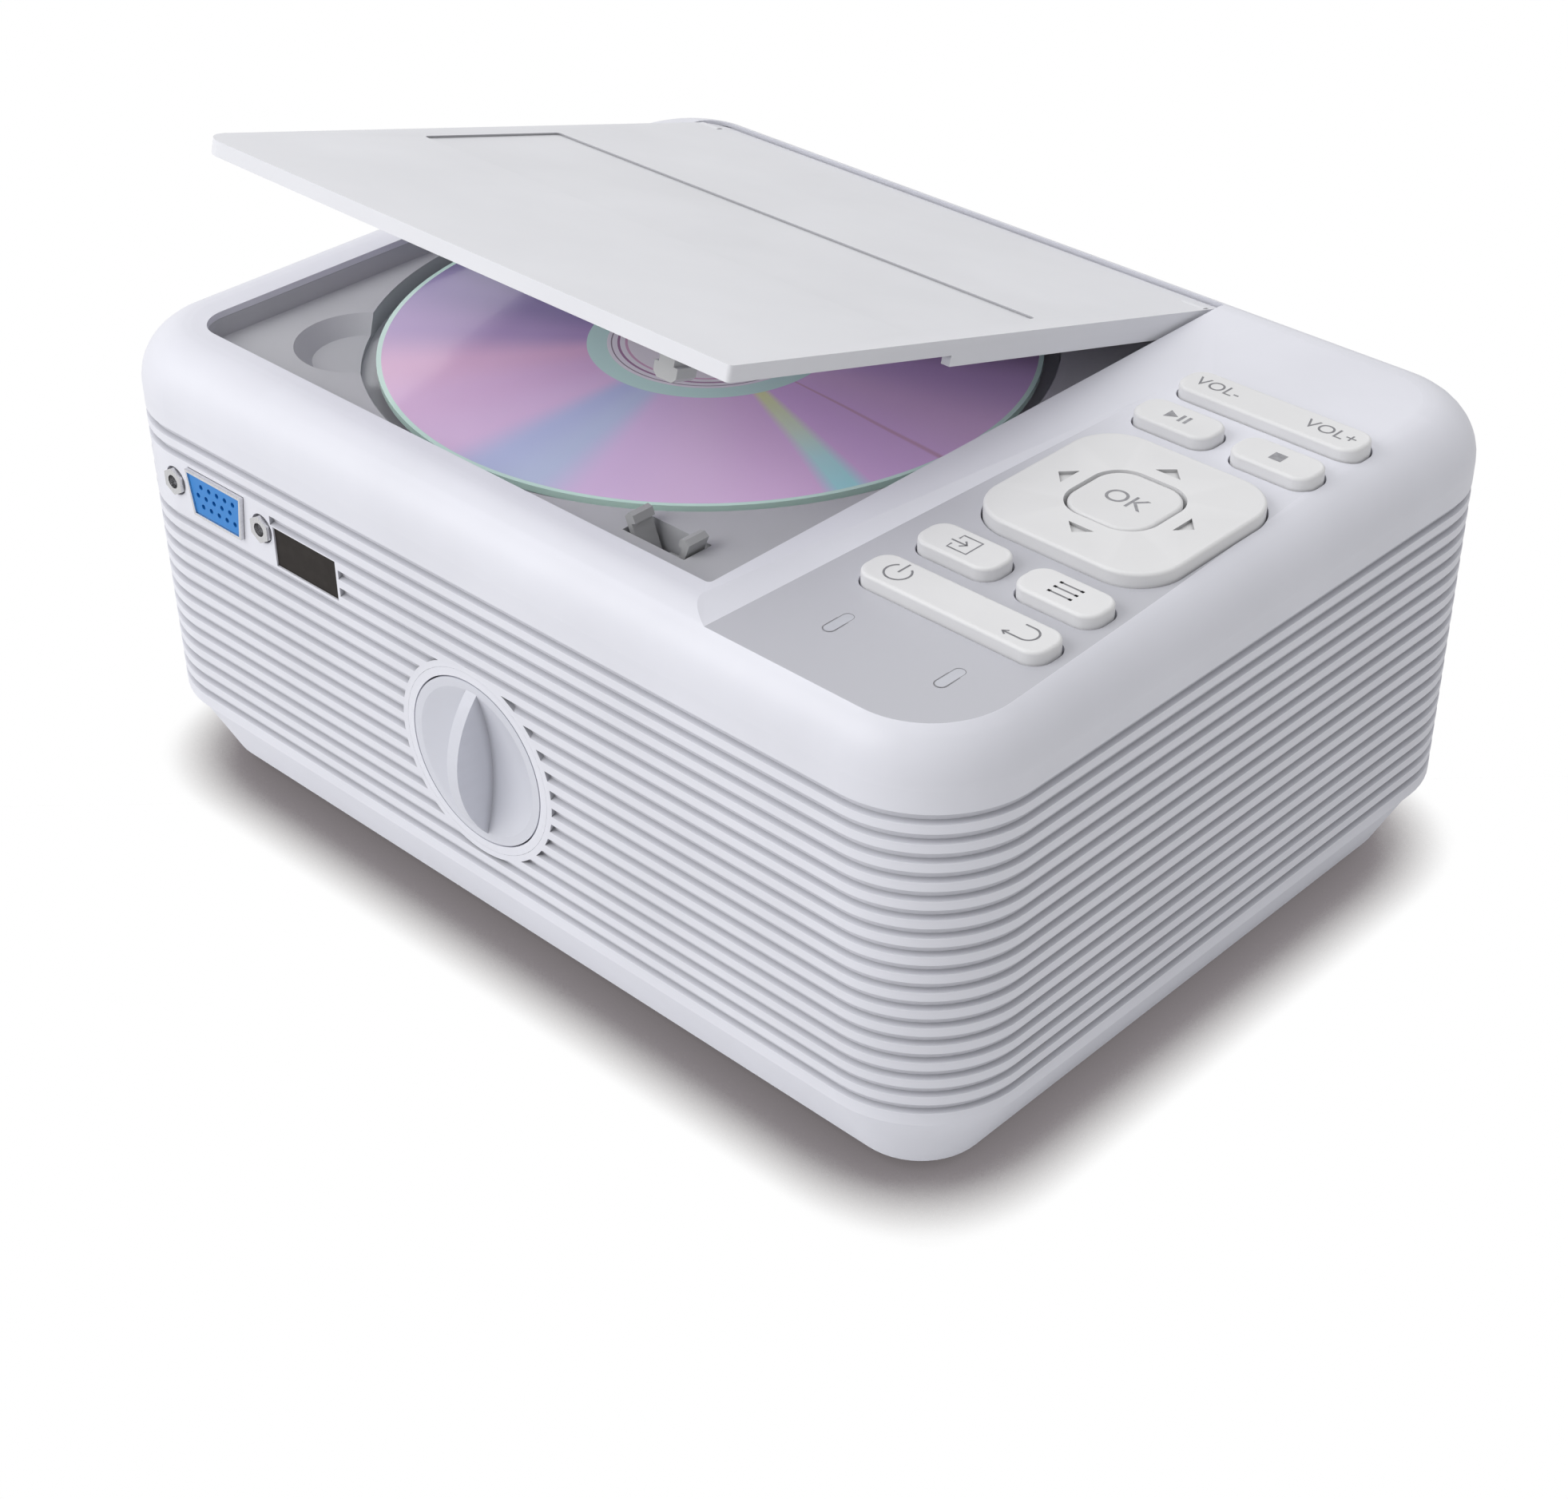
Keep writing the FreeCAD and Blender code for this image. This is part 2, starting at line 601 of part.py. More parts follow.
def rear_holes():
    near, far = BACK_Y - WALL - 1, BACK_Y + 1
    holes = slots(LENS_X, LENS_Z, FAN_SIZE - 2 * WALL, FAN_SIZE - 2 * WALL, VENT_COUNT, near, far)
    for x in (-SPEAKER_X, SPEAKER_X):
        holes += slots(x, SPEAKER_Z, SLOT_LENGTH, SLOT_LENGTH, SLOT_COUNT, near, far)
    sockets = ((HDMI_X, HDMI_SIZE), (USB_X, USB_SIZE), (INLET_X, (INLET_WIDTH, INLET_HEIGHT)))
    for x, (sx, sz) in sockets:
        holes.append(box(x - sx / 2 - GAP, x + sx / 2 + GAP, near, far,
                         BOARD_TOP - GAP, BOARD_TOP + sz + GAP))
    holes += [rod_y(JACK_R + GAP, near, far, x, BOARD_TOP + JACK_BODY / 2) for x in JACK_X]
    return holes


def hinge_seats():
    """Room under the top for the deck's hinge bosses."""
    reach, span = DECK_WALL + HINGE_BOSS + FIT, HINGE_LUG_R + FIT
    sides = ((BAY_LEFT - reach, BAY_LEFT + FIT), (BAY_RIGHT - FIT, BAY_RIGHT + reach))
    return [box(x0, x1, HINGE_Y - span, HINGE_Y + span, HINGE_Z - span, DECK_RIM + 2 * FIT)
            for x0, x1 in sides]


def top_cover():
    body = prism(-LX, LX, -LY, LY, PARTING_Z, TOP_Z, CORNER_R)
    body = rounded(body, TOP_ROUND, lambda edge: edge.BoundBox.ZMin > TOP_Z - FIT)
    cavity = prism(WALL - LX, LX - WALL, WALL - LY, LY - WALL, PARTING_Z - 1, TOP_INSIDE,
                   CORNER_R - WALL)
    cavity = rounded(cavity, TOP_ROUND - WALL, lambda edge: edge.BoundBox.ZMin > TOP_INSIDE - FIT)
    panel_pad = box(BAY_RIGHT + 2 * WALL, LX - TOP_ROUND + WALL, TOP_ROUND - LY + WALL,
                    PANEL_Y + BAR_ROW + 2 * TOP_ROUND, PANEL_INSIDE, TOP_INSIDE + FIT)
    shell = body.cut([cavity]).fuse([panel_pad])
    inside = DECK_WALL + FIT
    rebate = bay(inside, TOP_INSIDE - 1, DECK_RIM + FIT)
    rebate = rebate.cut(box(-LX, LX, BAY_BACK + FIT, LY, 0, TOP_Z))
    bosses = [rod_z(BOSS_R, DECK_UNDER, TOP_INSIDE + FIT, x, y) for x, y in DECK_SCREWS]
    bosses += [rod_z(BOSS_R, KEY_FRAME_Z + KEY_FRAME_THICK, PANEL_INSIDE + FIT, x, y)
               for x, y in KEY_SCREWS]
    for x, y in corner_spots():
        bosses.append(rod_z(CASE_BOSS_R, PARTING_Z, CASE_BOSS_TOP, x, y))
        side = math.copysign(LX - WALL, x)
        bosses.append(box(min(x, side), max(x, side), y - 1, y + 1, PARTING_Z, CASE_BOSS_TOP))
    shell = shell.fuse(bosses)
    screws = [rod_z(SMALL_SCREW_R + FIT, DECK_UNDER - 1, TOP_INSIDE - FIT, x, y)
              for x, y in DECK_SCREWS]
    screws += [rod_z(SMALL_SCREW_R + FIT, KEY_FRAME_Z, PANEL_INSIDE - FIT, x, y)
               for x, y in KEY_SCREWS]
    screws += [rod_z(CASE_SCREW_R + FIT, PARTING_Z - 1, CASE_BOSS_TOP - WALL, x, y)
               for x, y in corner_spots()]
    shell = shell.cut([bay(0, TOP_INSIDE - 1, TOP_Z + 1), rebate, panel_cut()] + hinge_seats() + screws)
    keep = smooth_areas()
    grooves = [groove(GROOVE_TOP_Z - i * GROOVE_PITCH).cut(keep) for i in range(GROOVE_COUNT)]
    save("top_cover", shell.cut(grooves + button_holes() + front_holes() + rear_holes()))


def base_sections(grow, levels):
    rise = PARTING_Z - FOOT_HEIGHT
    insets = [SEAM_STEP + grow + BASE_TAPER * (PARTING_Z - z) / rise + soft for z, soft in levels]
    return Part.makeLoft([shell_outline(inset, z) for inset, (z, soft) in zip(insets, levels)],
                         True, True)


def base_cover():
    soft = [(FOOT_HEIGHT + rise, inset) for rise, inset in BASE_SOFT] + [(PARTING_Z, 0.0)]
    body = base_sections(0, soft)
    body = body.cut(base_sections(WALL - SEAM_STEP, ((BASE_FLOOR, 0.0), (PARTING_Z + 1, 0.0))))
    tongue_out = WALL + FIT
    root = PARTING_Z - TONGUE_HEIGHT
    rim = Part.makeLoft([shell_outline(tongue_out, root), shell_outline(tongue_out,
                        PARTING_Z + TONGUE_HEIGHT)], True, True)
    hollow = Part.makeLoft([shell_outline(tongue_out + TONGUE, root - 1),
                            shell_outline(tongue_out + TONGUE, PARTING_Z + TONGUE_HEIGHT + 1)],
                           True, True)
    tongue = rim.cut(hollow)
    notches = [box(min(x, math.copysign(LX, x)), max(x, math.copysign(LX, x)),
                   y - 1 - GAP, y + 1 + GAP, PARTING_Z, PARTING_Z + 2 * TONGUE_HEIGHT)
               for x, y in corner_spots()]
    tongue = tongue.cut(notches)
    posts = [rod_z(CASE_BOSS_R, BASE_FLOOR - FIT, PARTING_Z - FIT, x, y) for x, y in corner_spots()]
    posts += [rod_z(POST_R, BASE_FLOOR - FIT, BOARD_Z, x, y) for x, y in board_posts()]
    legs = engine_legs()
    posts += [rod_z(LEG_SIZE / 2 + 1, BASE_FLOOR - FIT, BASE_FLOOR + WALL, x, y) for x, y in legs]
    body = body.fuse([tongue] + posts)
    holes = [rod_z(CASE_SCREW_R + FIT, 0, PARTING_Z + 1, x, y) for x, y in corner_spots()]
    holes += [rod_z(CASE_HEAD_R + GAP, 0, BASE_FLOOR + CASE_HEAD, x, y) for x, y in corner_spots()]
    holes += [rod_z(FOOT_R + FIT, 0, FOOT_HEIGHT + FOOT_SEAT, x, y) for x, y in foot_spots()]
    holes += [box(i * SLOT_PITCH - SLOT_WIDTH / 2, i * SLOT_PITCH + SLOT_WIDTH / 2,
                  -SLOT_LENGTH / 2, SLOT_LENGTH / 2, 0, BASE_FLOOR + 1)
              for i in range(-SLOT_COUNT, SLOT_COUNT + 1)]
    save("base_cover", body.cut(holes))


def foot_spots():
    return [(x, y) for x in (-FOOT_X, FOOT_X) for y in (-FOOT_Y, FOOT_Y)]


def board_posts():
    inset, reach = 2 * POST_R, BOARD_HALF - CASE_SCREW_INSET
    return [(x, y) for span in (BOARD_LEFT, BOARD_RIGHT) for x in (span[0] + inset, span[1] - inset)
            for y in (-reach, reach)]


def engine_legs():
    x, y = ENGINE_HALF_X - LEG_SIZE, ENGINE_BACK - LEG_SIZE
    return [(LENS_X + sx * x, sy * y) for sx in (-1, 1) for sy in (-1, 1)]


def feet_and_case_screws():
    feet = []
    for x, y in foot_spots():
        foot = rod_z(FOOT_R, 0, FOOT_HEIGHT + FOOT_SEAT, x, y)
        feet.append(rounded(foot, FOOT_SEAT, lambda edge: edge.BoundBox.ZMax < FIT))
    save("rubber_feet", *feet)
    head_z = BASE_FLOOR + CASE_HEAD
    top = CASE_BOSS_TOP - 2 * WALL
    save("case_screws", *[join(rod_z(CASE_SCREW_R, head_z - CASE_HEAD, top, x, y),
                               rod_z(CASE_HEAD_R, head_z - CASE_HEAD, head_z, x, y))
                          for x, y in corner_spots()])


# ---- disc deck and lid ------------------------------------------------------------------
def latch_box(grow, z0, z1):
    return box(LATCH_X - LATCH_SLOT_X / 2 - grow, LATCH_X + LATCH_SLOT_X / 2 + grow,
               LATCH_Y - LATCH_SLOT_Y / 2 - grow, LATCH_Y + LATCH_SLOT_Y / 2 + grow, z0, z1)


def disc_deck():
    outer = bay(DECK_WALL, DECK_UNDER, DECK_RIM)
    outer = outer.cut([box(-LX, LX, BAY_BACK - FIT, LY, TOP_Z - DECK_BACK_DROP, TOP_Z)])
    well = rod_z(WELL_R + DECK_FLOOR, WELL_UNDER, DECK_Z, WELL_X, WELL_Y)
    shaft = latch_box(LATCH_WALL, LATCH_SHAFT_BOTTOM, DECK_Z)
    ears = []
    for x, y in DECK_SCREWS:
        wall = BAY_LEFT - DECK_WALL if x < 0 else BAY_RIGHT
        ears.append(box(min(x - BOSS_R, BAY_RIGHT), max(x + BOSS_R, BAY_LEFT), y - BOSS_R,
                        y + BOSS_R, DECK_UNDER - DECK_FLOOR, DECK_UNDER))
        ears.append(box(wall, wall + DECK_WALL, y - BOSS_R, y + BOSS_R, DECK_UNDER - DECK_FLOOR,
                        DECK_UNDER + FIT))
    bosses = [rod_z(BOSS_R, CHASSIS_TOP + DAMPER_FLANGE + FIT, WELL_UNDER + FIT, x, y)
              for x, y in DRIVE_SCREWS]
    pin_reach = DECK_WALL + HINGE_BOSS
    pin_bosses = [rod_x(HINGE_LUG_R, BAY_LEFT - pin_reach, BAY_LEFT, HINGE_Y, HINGE_Z - FIT),
                  rod_x(HINGE_LUG_R, BAY_RIGHT, BAY_RIGHT + pin_reach, HINGE_Y, HINGE_Z - FIT)]
    trim = box(-LX, LX, HINGE_Y - WALL * 2, BAY_BACK, DECK_RIM, TOP_Z + HINGE_LUG_R)
    pockets_floor = box(BAY_LEFT, BAY_RIGHT, BAY_BACK - HINGE_POCKET_LENGTH - DECK_WALL, BAY_BACK,
                        DECK_Z - HINGE_POCKET_DROP - DECK_WALL, DECK_UNDER)
    solid = outer.fuse([well, shaft, pockets_floor] + ears + bosses + pin_bosses)
    inner = bay(0, DECK_Z, TOP_Z)
    well_cut = rod_z(WELL_R, WELL_Z, TOP_Z, WELL_X, WELL_Y)
    angle = math.radians(SCOOP_ANGLE)
    scoop = Part.makeCone(SCOOP_FLAT_R, SCOOP_R, SCOOP_DROP, V(WELL_X + WELL_R * math.cos(angle),
                          WELL_Y + WELL_R * math.sin(angle), DECK_Z - SCOOP_DROP))
    scoop_under = Part.makeCone(SCOOP_FLAT_R + DECK_WALL, SCOOP_R + DECK_WALL, SCOOP_DROP,
                                V(WELL_X + WELL_R * math.cos(angle),
                                  WELL_Y + WELL_R * math.sin(angle), DECK_UNDER - SCOOP_DROP))
    pocket_z = DECK_Z - HINGE_POCKET_DROP
    pocket_y = (BAY_BACK - HINGE_POCKET_LENGTH, BAY_BACK)
    trough_y = (BAY_BACK - HINGE_TROUGH_LENGTH, BAY_BACK)
    cuts = [inner, well_cut, scoop, trim,
            box(BAY_LEFT, BAY_LEFT + HINGE_POCKET, *pocket_y, pocket_z, TOP_Z),
            box(BAY_RIGHT - HINGE_POCKET, BAY_RIGHT, *pocket_y, pocket_z, TOP_Z),
            box(BAY_LEFT, BAY_RIGHT, *trough_y, pocket_z + 1, TOP_Z),
            latch_box(0, LATCH_SHAFT_BOTTOM + LATCH_WALL, TOP_Z),
            rod_z(MOTOR_OPENING_R, WELL_UNDER - 1, WELL_Z + 1, WELL_X, WELL_Y),
            box(WELL_X, WELL_X + SLED_START + SLED_TRAVEL + LENS_BLOCK_X / 2 + GAP,
                WELL_Y - SLED_SLOT / 2, WELL_Y + SLED_SLOT / 2, WELL_UNDER - 1, WELL_Z + 1)]
    cuts += [rod_x(HINGE_PIN_R + FIT / 2, BAY_LEFT - pin_reach + 1, BAY_LEFT + 1, HINGE_Y, HINGE_Z),
             rod_x(HINGE_PIN_R + FIT / 2, BAY_RIGHT - 1, BAY_RIGHT + pin_reach - 1, HINGE_Y, HINGE_Z)]
    cuts += [rod_z(SMALL_SCREW_R + FIT, DECK_UNDER - WALL, DECK_UNDER + FIT, x, y)
             for x, y in DECK_SCREWS]
    cuts += [rod_z(SMALL_SCREW_R + FIT, CHASSIS_TOP, WELL_UNDER, x, y) for x, y in DRIVE_SCREWS]
    save("disc_deck", solid.fuse([scoop_under]).cut(cuts))


def lid_plan(grow, z0, z1):
    left, right = max(LID_LEFT_R - grow, FIT), max(LID_RIGHT_R - grow, FIT)
    return prism(LID_LEFT + grow, LID_RIGHT - grow, LID_FRONT + grow, LID_BACK - grow,
                 z0, z1, left, right, right, left)


def hinge_spans():
    gap = LID_GAP - GAP
    return [(LID_LEFT + gap, LID_LEFT + gap + HINGE_LUG_WIDTH),
            (LID_RIGHT - gap - HINGE_LUG_WIDTH, LID_RIGHT - gap)]


def disc_lid():
    body = lid_plan(0, TOP_Z - LID_RIM, TOP_Z)
    body = body.cut(lid_plan(LID_RIM_WALL, TOP_Z - LID_RIM - 1, LID_UNDER))
    cheek_y = HINGE_Y - LID_FLANGE_LENGTH
    cheeks = [box(x, x + LID_RIM_WALL, cheek_y, LID_BACK - LID_LEFT_R, TOP_Z - LID_FLANGE,
                  LID_UNDER + FIT) for x in (LID_LEFT, LID_RIGHT - LID_RIM_WALL)]
    lugs = []
    for x0, x1 in hinge_spans():
        lugs.append(rod_x(HINGE_LUG_R, x0, x1, HINGE_Y, HINGE_Z - FIT))
        lugs.append(box(x0, x1, HINGE_Y - HINGE_LUG_R, HINGE_Y + HINGE_LUG_R - FIT, HINGE_Z,
                        LID_UNDER + FIT))
    body = body.fuse(cheeks + lugs)
    mark = prism(LID_LEFT + PANEL_MARK_SIDE, LID_RIGHT - PANEL_MARK_SIDE,
                 LID_BACK - PANEL_MARK_BACK - PANEL_MARK_LENGTH, LID_BACK - PANEL_MARK_BACK,
                 TOP_Z - PANEL_MARK_DEPTH, TOP_Z + 1, 1.0)
    bores = [rod_x(HINGE_PIN_R + SLIP / 2, x0 - 1, x1 + 1, HINGE_Y, HINGE_Z)
             for x0, x1 in hinge_spans()]
    save("disc_lid", lid_pose(body.cut([mark] + bores)))


def lid_pose(shape):
    return turn_x(shape, -LID_OPEN, HINGE_Y, HINGE_Z)


def hinge_pins():
    reach = DECK_WALL + HINGE_BOSS - 1
    (_, left_end), (right_end, _) = hinge_spans()
    save("hinge_pins", rod_x(HINGE_PIN_R, BAY_LEFT - reach, left_end - GAP, HINGE_Y, HINGE_Z),
         rod_x(HINGE_PIN_R, right_end + GAP, BAY_RIGHT + reach, HINGE_Y, HINGE_Z))


def lid_striker():
    low = TOP_Z - STRIKER_REACH
    neck, head = STRIKER_NECK_X / 2, STRIKER_HEAD_X / 2
    shoulder = low + STRIKER_HEAD_Z
    taper, plate = low + STRIKER_TAPER, LID_UNDER - STRIKER_PLATE
    profile = [(-head, taper), (-neck, low), (neck, low), (head, taper), (head, shoulder),
               (neck, shoulder), (neck, plate), (head, plate), (head, LID_UNDER),
               (-head, LID_UNDER), (-head, plate), (-neck, plate), (-neck, shoulder),
               (-head, shoulder)]
    shape = plate_xz([(LATCH_X + x, z) for x, z in profile], LATCH_Y - STRIKER_Y / 2,
                     LATCH_Y + STRIKER_Y / 2)
    save("lid_striker", lid_pose(shape))


# ---- latch ------------------------------------------------------------------------------
PUSH_Z = TOP_Z - STRIKER_REACH - GAP - FIT       # top of the plunger's middle block
JAW_PIVOT_Z = PUSH_Z - JAW_PIVOT_DROP
PLUNGER_BOTTOM = JAW_PIVOT_Z - PLUNGER_DEPTH


def latch_plunger():
    half_x, half_y = LATCH_SLOT_X / 2 - GAP, LATCH_SLOT_Y / 2 - GAP
    edge = JAW_PIVOT_X + JAW_BARREL_R + LATCH_WALL / 2 - FIT
    middle = JAW_PIVOT_X - JAW_BARREL_R - GAP / 2
    lip = JAW_PIVOT_Z + PLUNGER_LIP
    profile = [(-half_x, PLUNGER_BOTTOM), (half_x, PLUNGER_BOTTOM), (half_x, lip), (edge, lip),
               (edge, JAW_PIVOT_Z), (middle, JAW_PIVOT_Z), (middle, PUSH_Z), (-middle, PUSH_Z),
               (-middle, JAW_PIVOT_Z), (-edge, JAW_PIVOT_Z), (-edge, lip), (-half_x, lip)]
    shape = plate_xz([(LATCH_X + x, z) for x, z in profile], LATCH_Y - half_y, LATCH_Y + half_y)
    grooves = [rod_y(JAW_BARREL_R + SLIP / 2, LATCH_Y - LATCH_SLOT_Y, LATCH_Y + LATCH_SLOT_Y,
                     LATCH_X + side * JAW_PIVOT_X, JAW_PIVOT_Z) for side in (-1, 1)]
    save("latch_plunger", shape.cut(grooves))


def latch_jaw(name, side):
    """One jaw, drawn upright and then turned outwards."""
    half = JAW_THICK / 2
    inner, outer = JAW_PIVOT_X - half, JAW_PIVOT_X + half
    reach = STRIKER_NECK_X / 2 + GAP + FIT
    top = JAW_PIVOT_Z + JAW_LENGTH
    profile = [(outer, JAW_PIVOT_Z), (outer, top - JAW_SLOPES[name]), (inner, top), (reach, top - JAW_TIP),
               (reach, top - JAW_HOOK), (inner, top - JAW_HOOK), (inner, JAW_PIVOT_Z)]
    half_y = STRIKER_Y / 2
    arm = plate_xz([(LATCH_X + side * x, z) for x, z in profile], LATCH_Y - half_y,
                   LATCH_Y + half_y)
    pivot = (LATCH_X + side * JAW_PIVOT_X, JAW_PIVOT_Z)
    shape = join(arm, rod_y(JAW_BARREL_R, LATCH_Y - half_y, LATCH_Y + half_y, *pivot))
    shape.rotate(V(pivot[0], 0, pivot[1]), V(0, 1, 0), side * LATCH_SPLAY)
    save("latch_jaw_" + name, shape)


def latch_spring():
    """Bowed leaf spring between the shaft's floor and the plunger."""
    low, high = LATCH_SHAFT_BOTTOM + LATCH_WALL, PLUNGER_BOTTOM
    half, thick = LATCH_SLOT_X / 2 - LEAF_FOOT, LEAF_THICK
    points = [(-half, low), (LEAF_FOOT - half, low), (0, high - thick), (half - LEAF_FOOT, low),
              (half, low), (half, low + thick), (half - LEAF_FOOT, low + thick),
              (LEAF_FOOT, high), (-LEAF_FOOT, high), (LEAF_FOOT - half, low + thick),
              (-half, low + thick)]
    save("latch_spring", plate_xz([(LATCH_X + x, z) for x, z in points],
                                  LATCH_Y - LEAF_WIDTH / 2, LATCH_Y + LEAF_WIDTH / 2))


# ---- disc drive -------------------------------------------------------------------------
def disc():
    blank = rod_z(DISC_R, DISC_Z, DISC_Z + DISC_THICK, WELL_X, WELL_Y)
    save("disc", blank.cut(rod_z(DISC_HOLE_R, DISC_Z - 1, DISC_Z + DISC_THICK + 1, WELL_X, WELL_Y)))


def spindle():
    table_z = DISC_Z - TURNTABLE_THICK
    motor_top = CHASSIS_TOP + MOTOR_HEIGHT
    boss = rod_z(HUB_R, DISC_Z, DISC_Z + HUB_HEIGHT, WELL_X, WELL_Y)
    boss = rounded(boss, HUB_ROUND, lambda edge: edge.BoundBox.ZMin > DISC_Z + HUB_HEIGHT - FIT)
    shaft = rod_z(SPINDLE_R, CHASSIS_TOP + 1, table_z, WELL_X, WELL_Y)
    save("spindle_hub", join(rod_z(TURNTABLE_R, table_z, DISC_Z, WELL_X, WELL_Y), boss, shaft))
    can = rod_z(MOTOR_R, CHASSIS_TOP, motor_top, WELL_X, WELL_Y)
    can = rounded(can, MOTOR_ROUND, lambda edge: edge.BoundBox.ZMin > motor_top - FIT)
    save("spindle_motor", can.cut(rod_z(SPINDLE_R + SLIP / 2, CHASSIS_TOP + FIT, TOP_Z, WELL_X,
                                        WELL_Y)))


def rod_ends():
    left = WELL_X + MOTOR_R / 2
    return left - 2 * ROD_LUG, CHASSIS_RIGHT


def drive_chassis():
    plate = box(CHASSIS_LEFT, CHASSIS_RIGHT, CHASSIS_FRONT, CHASSIS_BACK, CHASSIS_Z, CHASSIS_TOP)
    left, right = rod_ends()
    lugs, bores = [], []
    for offset, r, z in rods():
        y = WELL_Y + offset
        for x0, x1 in ((left, left + ROD_LUG), (right - ROD_LUG, right)):
            lugs.append(box(x0, x1, y - ROD_LUG, y + ROD_LUG, CHASSIS_TOP - FIT,
                            CHASSIS_TOP + ROD_LUG_HEIGHT))
        bores.append(rod_x(r + SLIP / 2, left - 1, right - 1, y, z))
    motor_x = left - SLED_MOTOR_LENGTH
    window = box(motor_x - GAP, left, WELL_Y - SCREW_OFFSET - SLED_MOTOR_R - GAP,
                 WELL_Y - SCREW_OFFSET + SLED_MOTOR_R + GAP, CHASSIS_Z - 1, CHASSIS_TOP + 1)
    holes = [rod_z(DAMPER_NECK_R + FIT, CHASSIS_Z - 1, CHASSIS_TOP + 1, x, y)
             for x, y in DRIVE_SCREWS]
    save("drive_chassis", plate.fuse(lugs).cut(bores + holes + [window]))


def rods():
    return [(-ROD_SPREAD, ROD_R, ROD_Z), (ROD_SPREAD, ROD_R, ROD_Z),
            (-SCREW_OFFSET, SLED_SCREW_R, SLED_SCREW_Z)]


def sled_drive():
    left, right = rod_ends()
    save("guide_rods", *[rod_x(ROD_R, left, right - 1 - FIT, WELL_Y + side * ROD_SPREAD, ROD_Z)
                         for side in (-1, 1)])
    y = WELL_Y - SCREW_OFFSET
    shaft = rod_x(SLED_SCREW_R, left - 1, right - 1 - FIT, y, SLED_SCREW_Z)
    turns = int((right - left - 4 * ROD_LUG) / SLED_SCREW_R / 2)
    start = left + 2 * ROD_LUG
    cuts = [rod_x(2 * SLED_SCREW_R, x, x + SLED_SCREW_R, y, SLED_SCREW_Z).cut(
        rod_x(SLED_SCREW_R * SCREW_ROOT, x - 1, x + 2 * SLED_SCREW_R, y, SLED_SCREW_Z))
        for x in [start + 2 * SLED_SCREW_R * i for i in range(turns)]]
    save("sled_screw", shaft.cut(cuts))
    motor = rod_x(SLED_MOTOR_R, left - SLED_MOTOR_LENGTH, left - FIT, y, SLED_SCREW_Z - SLED_MOTOR_DROP)
    save("sled_motor", motor.cut(rod_x(SLED_SCREW_R + SLIP / 2, left - 2, left + 1, y,
                                       SLED_SCREW_Z)))


def pickup():
    x = WELL_X + SLED_START
    half = SLED_LENGTH / 2
    body = box(x - half, x + half, WELL_Y - SLED_HALF_WIDTH, WELL_Y + SLED_HALF_WIDTH,
               SLED_BOTTOM, SLED_TOP)
    block = box(x - LENS_BLOCK_X / 2, x + LENS_BLOCK_X / 2, WELL_Y - LENS_BLOCK_Y / 2,
                WELL_Y + LENS_BLOCK_Y / 2, SLED_TOP - 1, LENS_BLOCK_TOP)
    nut_y = WELL_Y - SCREW_OFFSET
    nut = box(x - half / 2, x + half / 2, nut_y - SLED_SCREW_R - 1, WELL_Y - SLED_HALF_WIDTH + 1,
              SLED_BOTTOM, SLED_TOP)
    bores = [rod_x(r + SLIP / 2, x - half - 1, x + half + 1, WELL_Y + offset, z)
             for offset, r, z in rods()]
    seat_z = LENS_BLOCK_TOP - PICKUP_LENS_SEAT
    seat = rod_z(PICKUP_LENS_R + FIT, seat_z, TOP_Z, x, WELL_Y)
    save("pickup_sled", body.fuse([block, nut]).cut(bores + [seat]))
    glass = rod_z(PICKUP_LENS_R, seat_z, LENS_BLOCK_TOP + PICKUP_LENS_PROUD, x, WELL_Y)
    glass = rounded(glass, PICKUP_LENS_ROUND, lambda edge: edge.BoundBox.ZMin > LENS_BLOCK_TOP)
    save("pickup_lens", glass)


def drive_mounts():
    dampers, screws = [], []
    low, high = CHASSIS_Z - DAMPER_FLANGE, CHASSIS_TOP + DAMPER_FLANGE
    for x, y in DRIVE_SCREWS:
        damper = join(rod_z(DAMPER_R, low, CHASSIS_Z - FIT, x, y),
                      rod_z(DAMPER_NECK_R, low, high, x, y),
                      rod_z(DAMPER_R, CHASSIS_TOP + FIT, high, x, y))
        dampers.append(damper.cut(rod_z(SMALL_SCREW_R + FIT, low - 1, high + 1, x, y)))
        screws.append(small_screw(x, y, low, WELL_UNDER - 1))
    save("drive_dampers", *dampers)
    screws += [small_screw(x, y, DECK_UNDER - DECK_FLOOR, TOP_INSIDE - 1) for x, y in DECK_SCREWS]
    screws += [small_screw(x, y, KEY_BOARD_Z, PANEL_INSIDE - 1) for x, y in KEY_SCREWS]
    save("small_screws", *screws)


def small_screw(x, y, seat, tip):
    return join(rod_z(SMALL_SCREW_R, seat - SMALL_HEAD, tip, x, y),
                rod_z(SMALL_HEAD_R, seat - SMALL_HEAD, seat, x, y))


# ---- front ------------------------------------------------------------------------------
def lens_bezel():
    back = FRONT_Y + BEZEL_DEPTH
    tube = ring_y(BEZEL_R, BEZEL_BORE_R, FRONT_Y, back, LENS_X, LENS_Z)
    seat = FRONT_Y + WALL + FIT
    flange = ring_y(BEZEL_FLANGE_R, BEZEL_BORE_R, seat, seat + BEZEL_FLANGE, LENS_X, LENS_Z)
    save("lens_bezel", join(tube, flange))


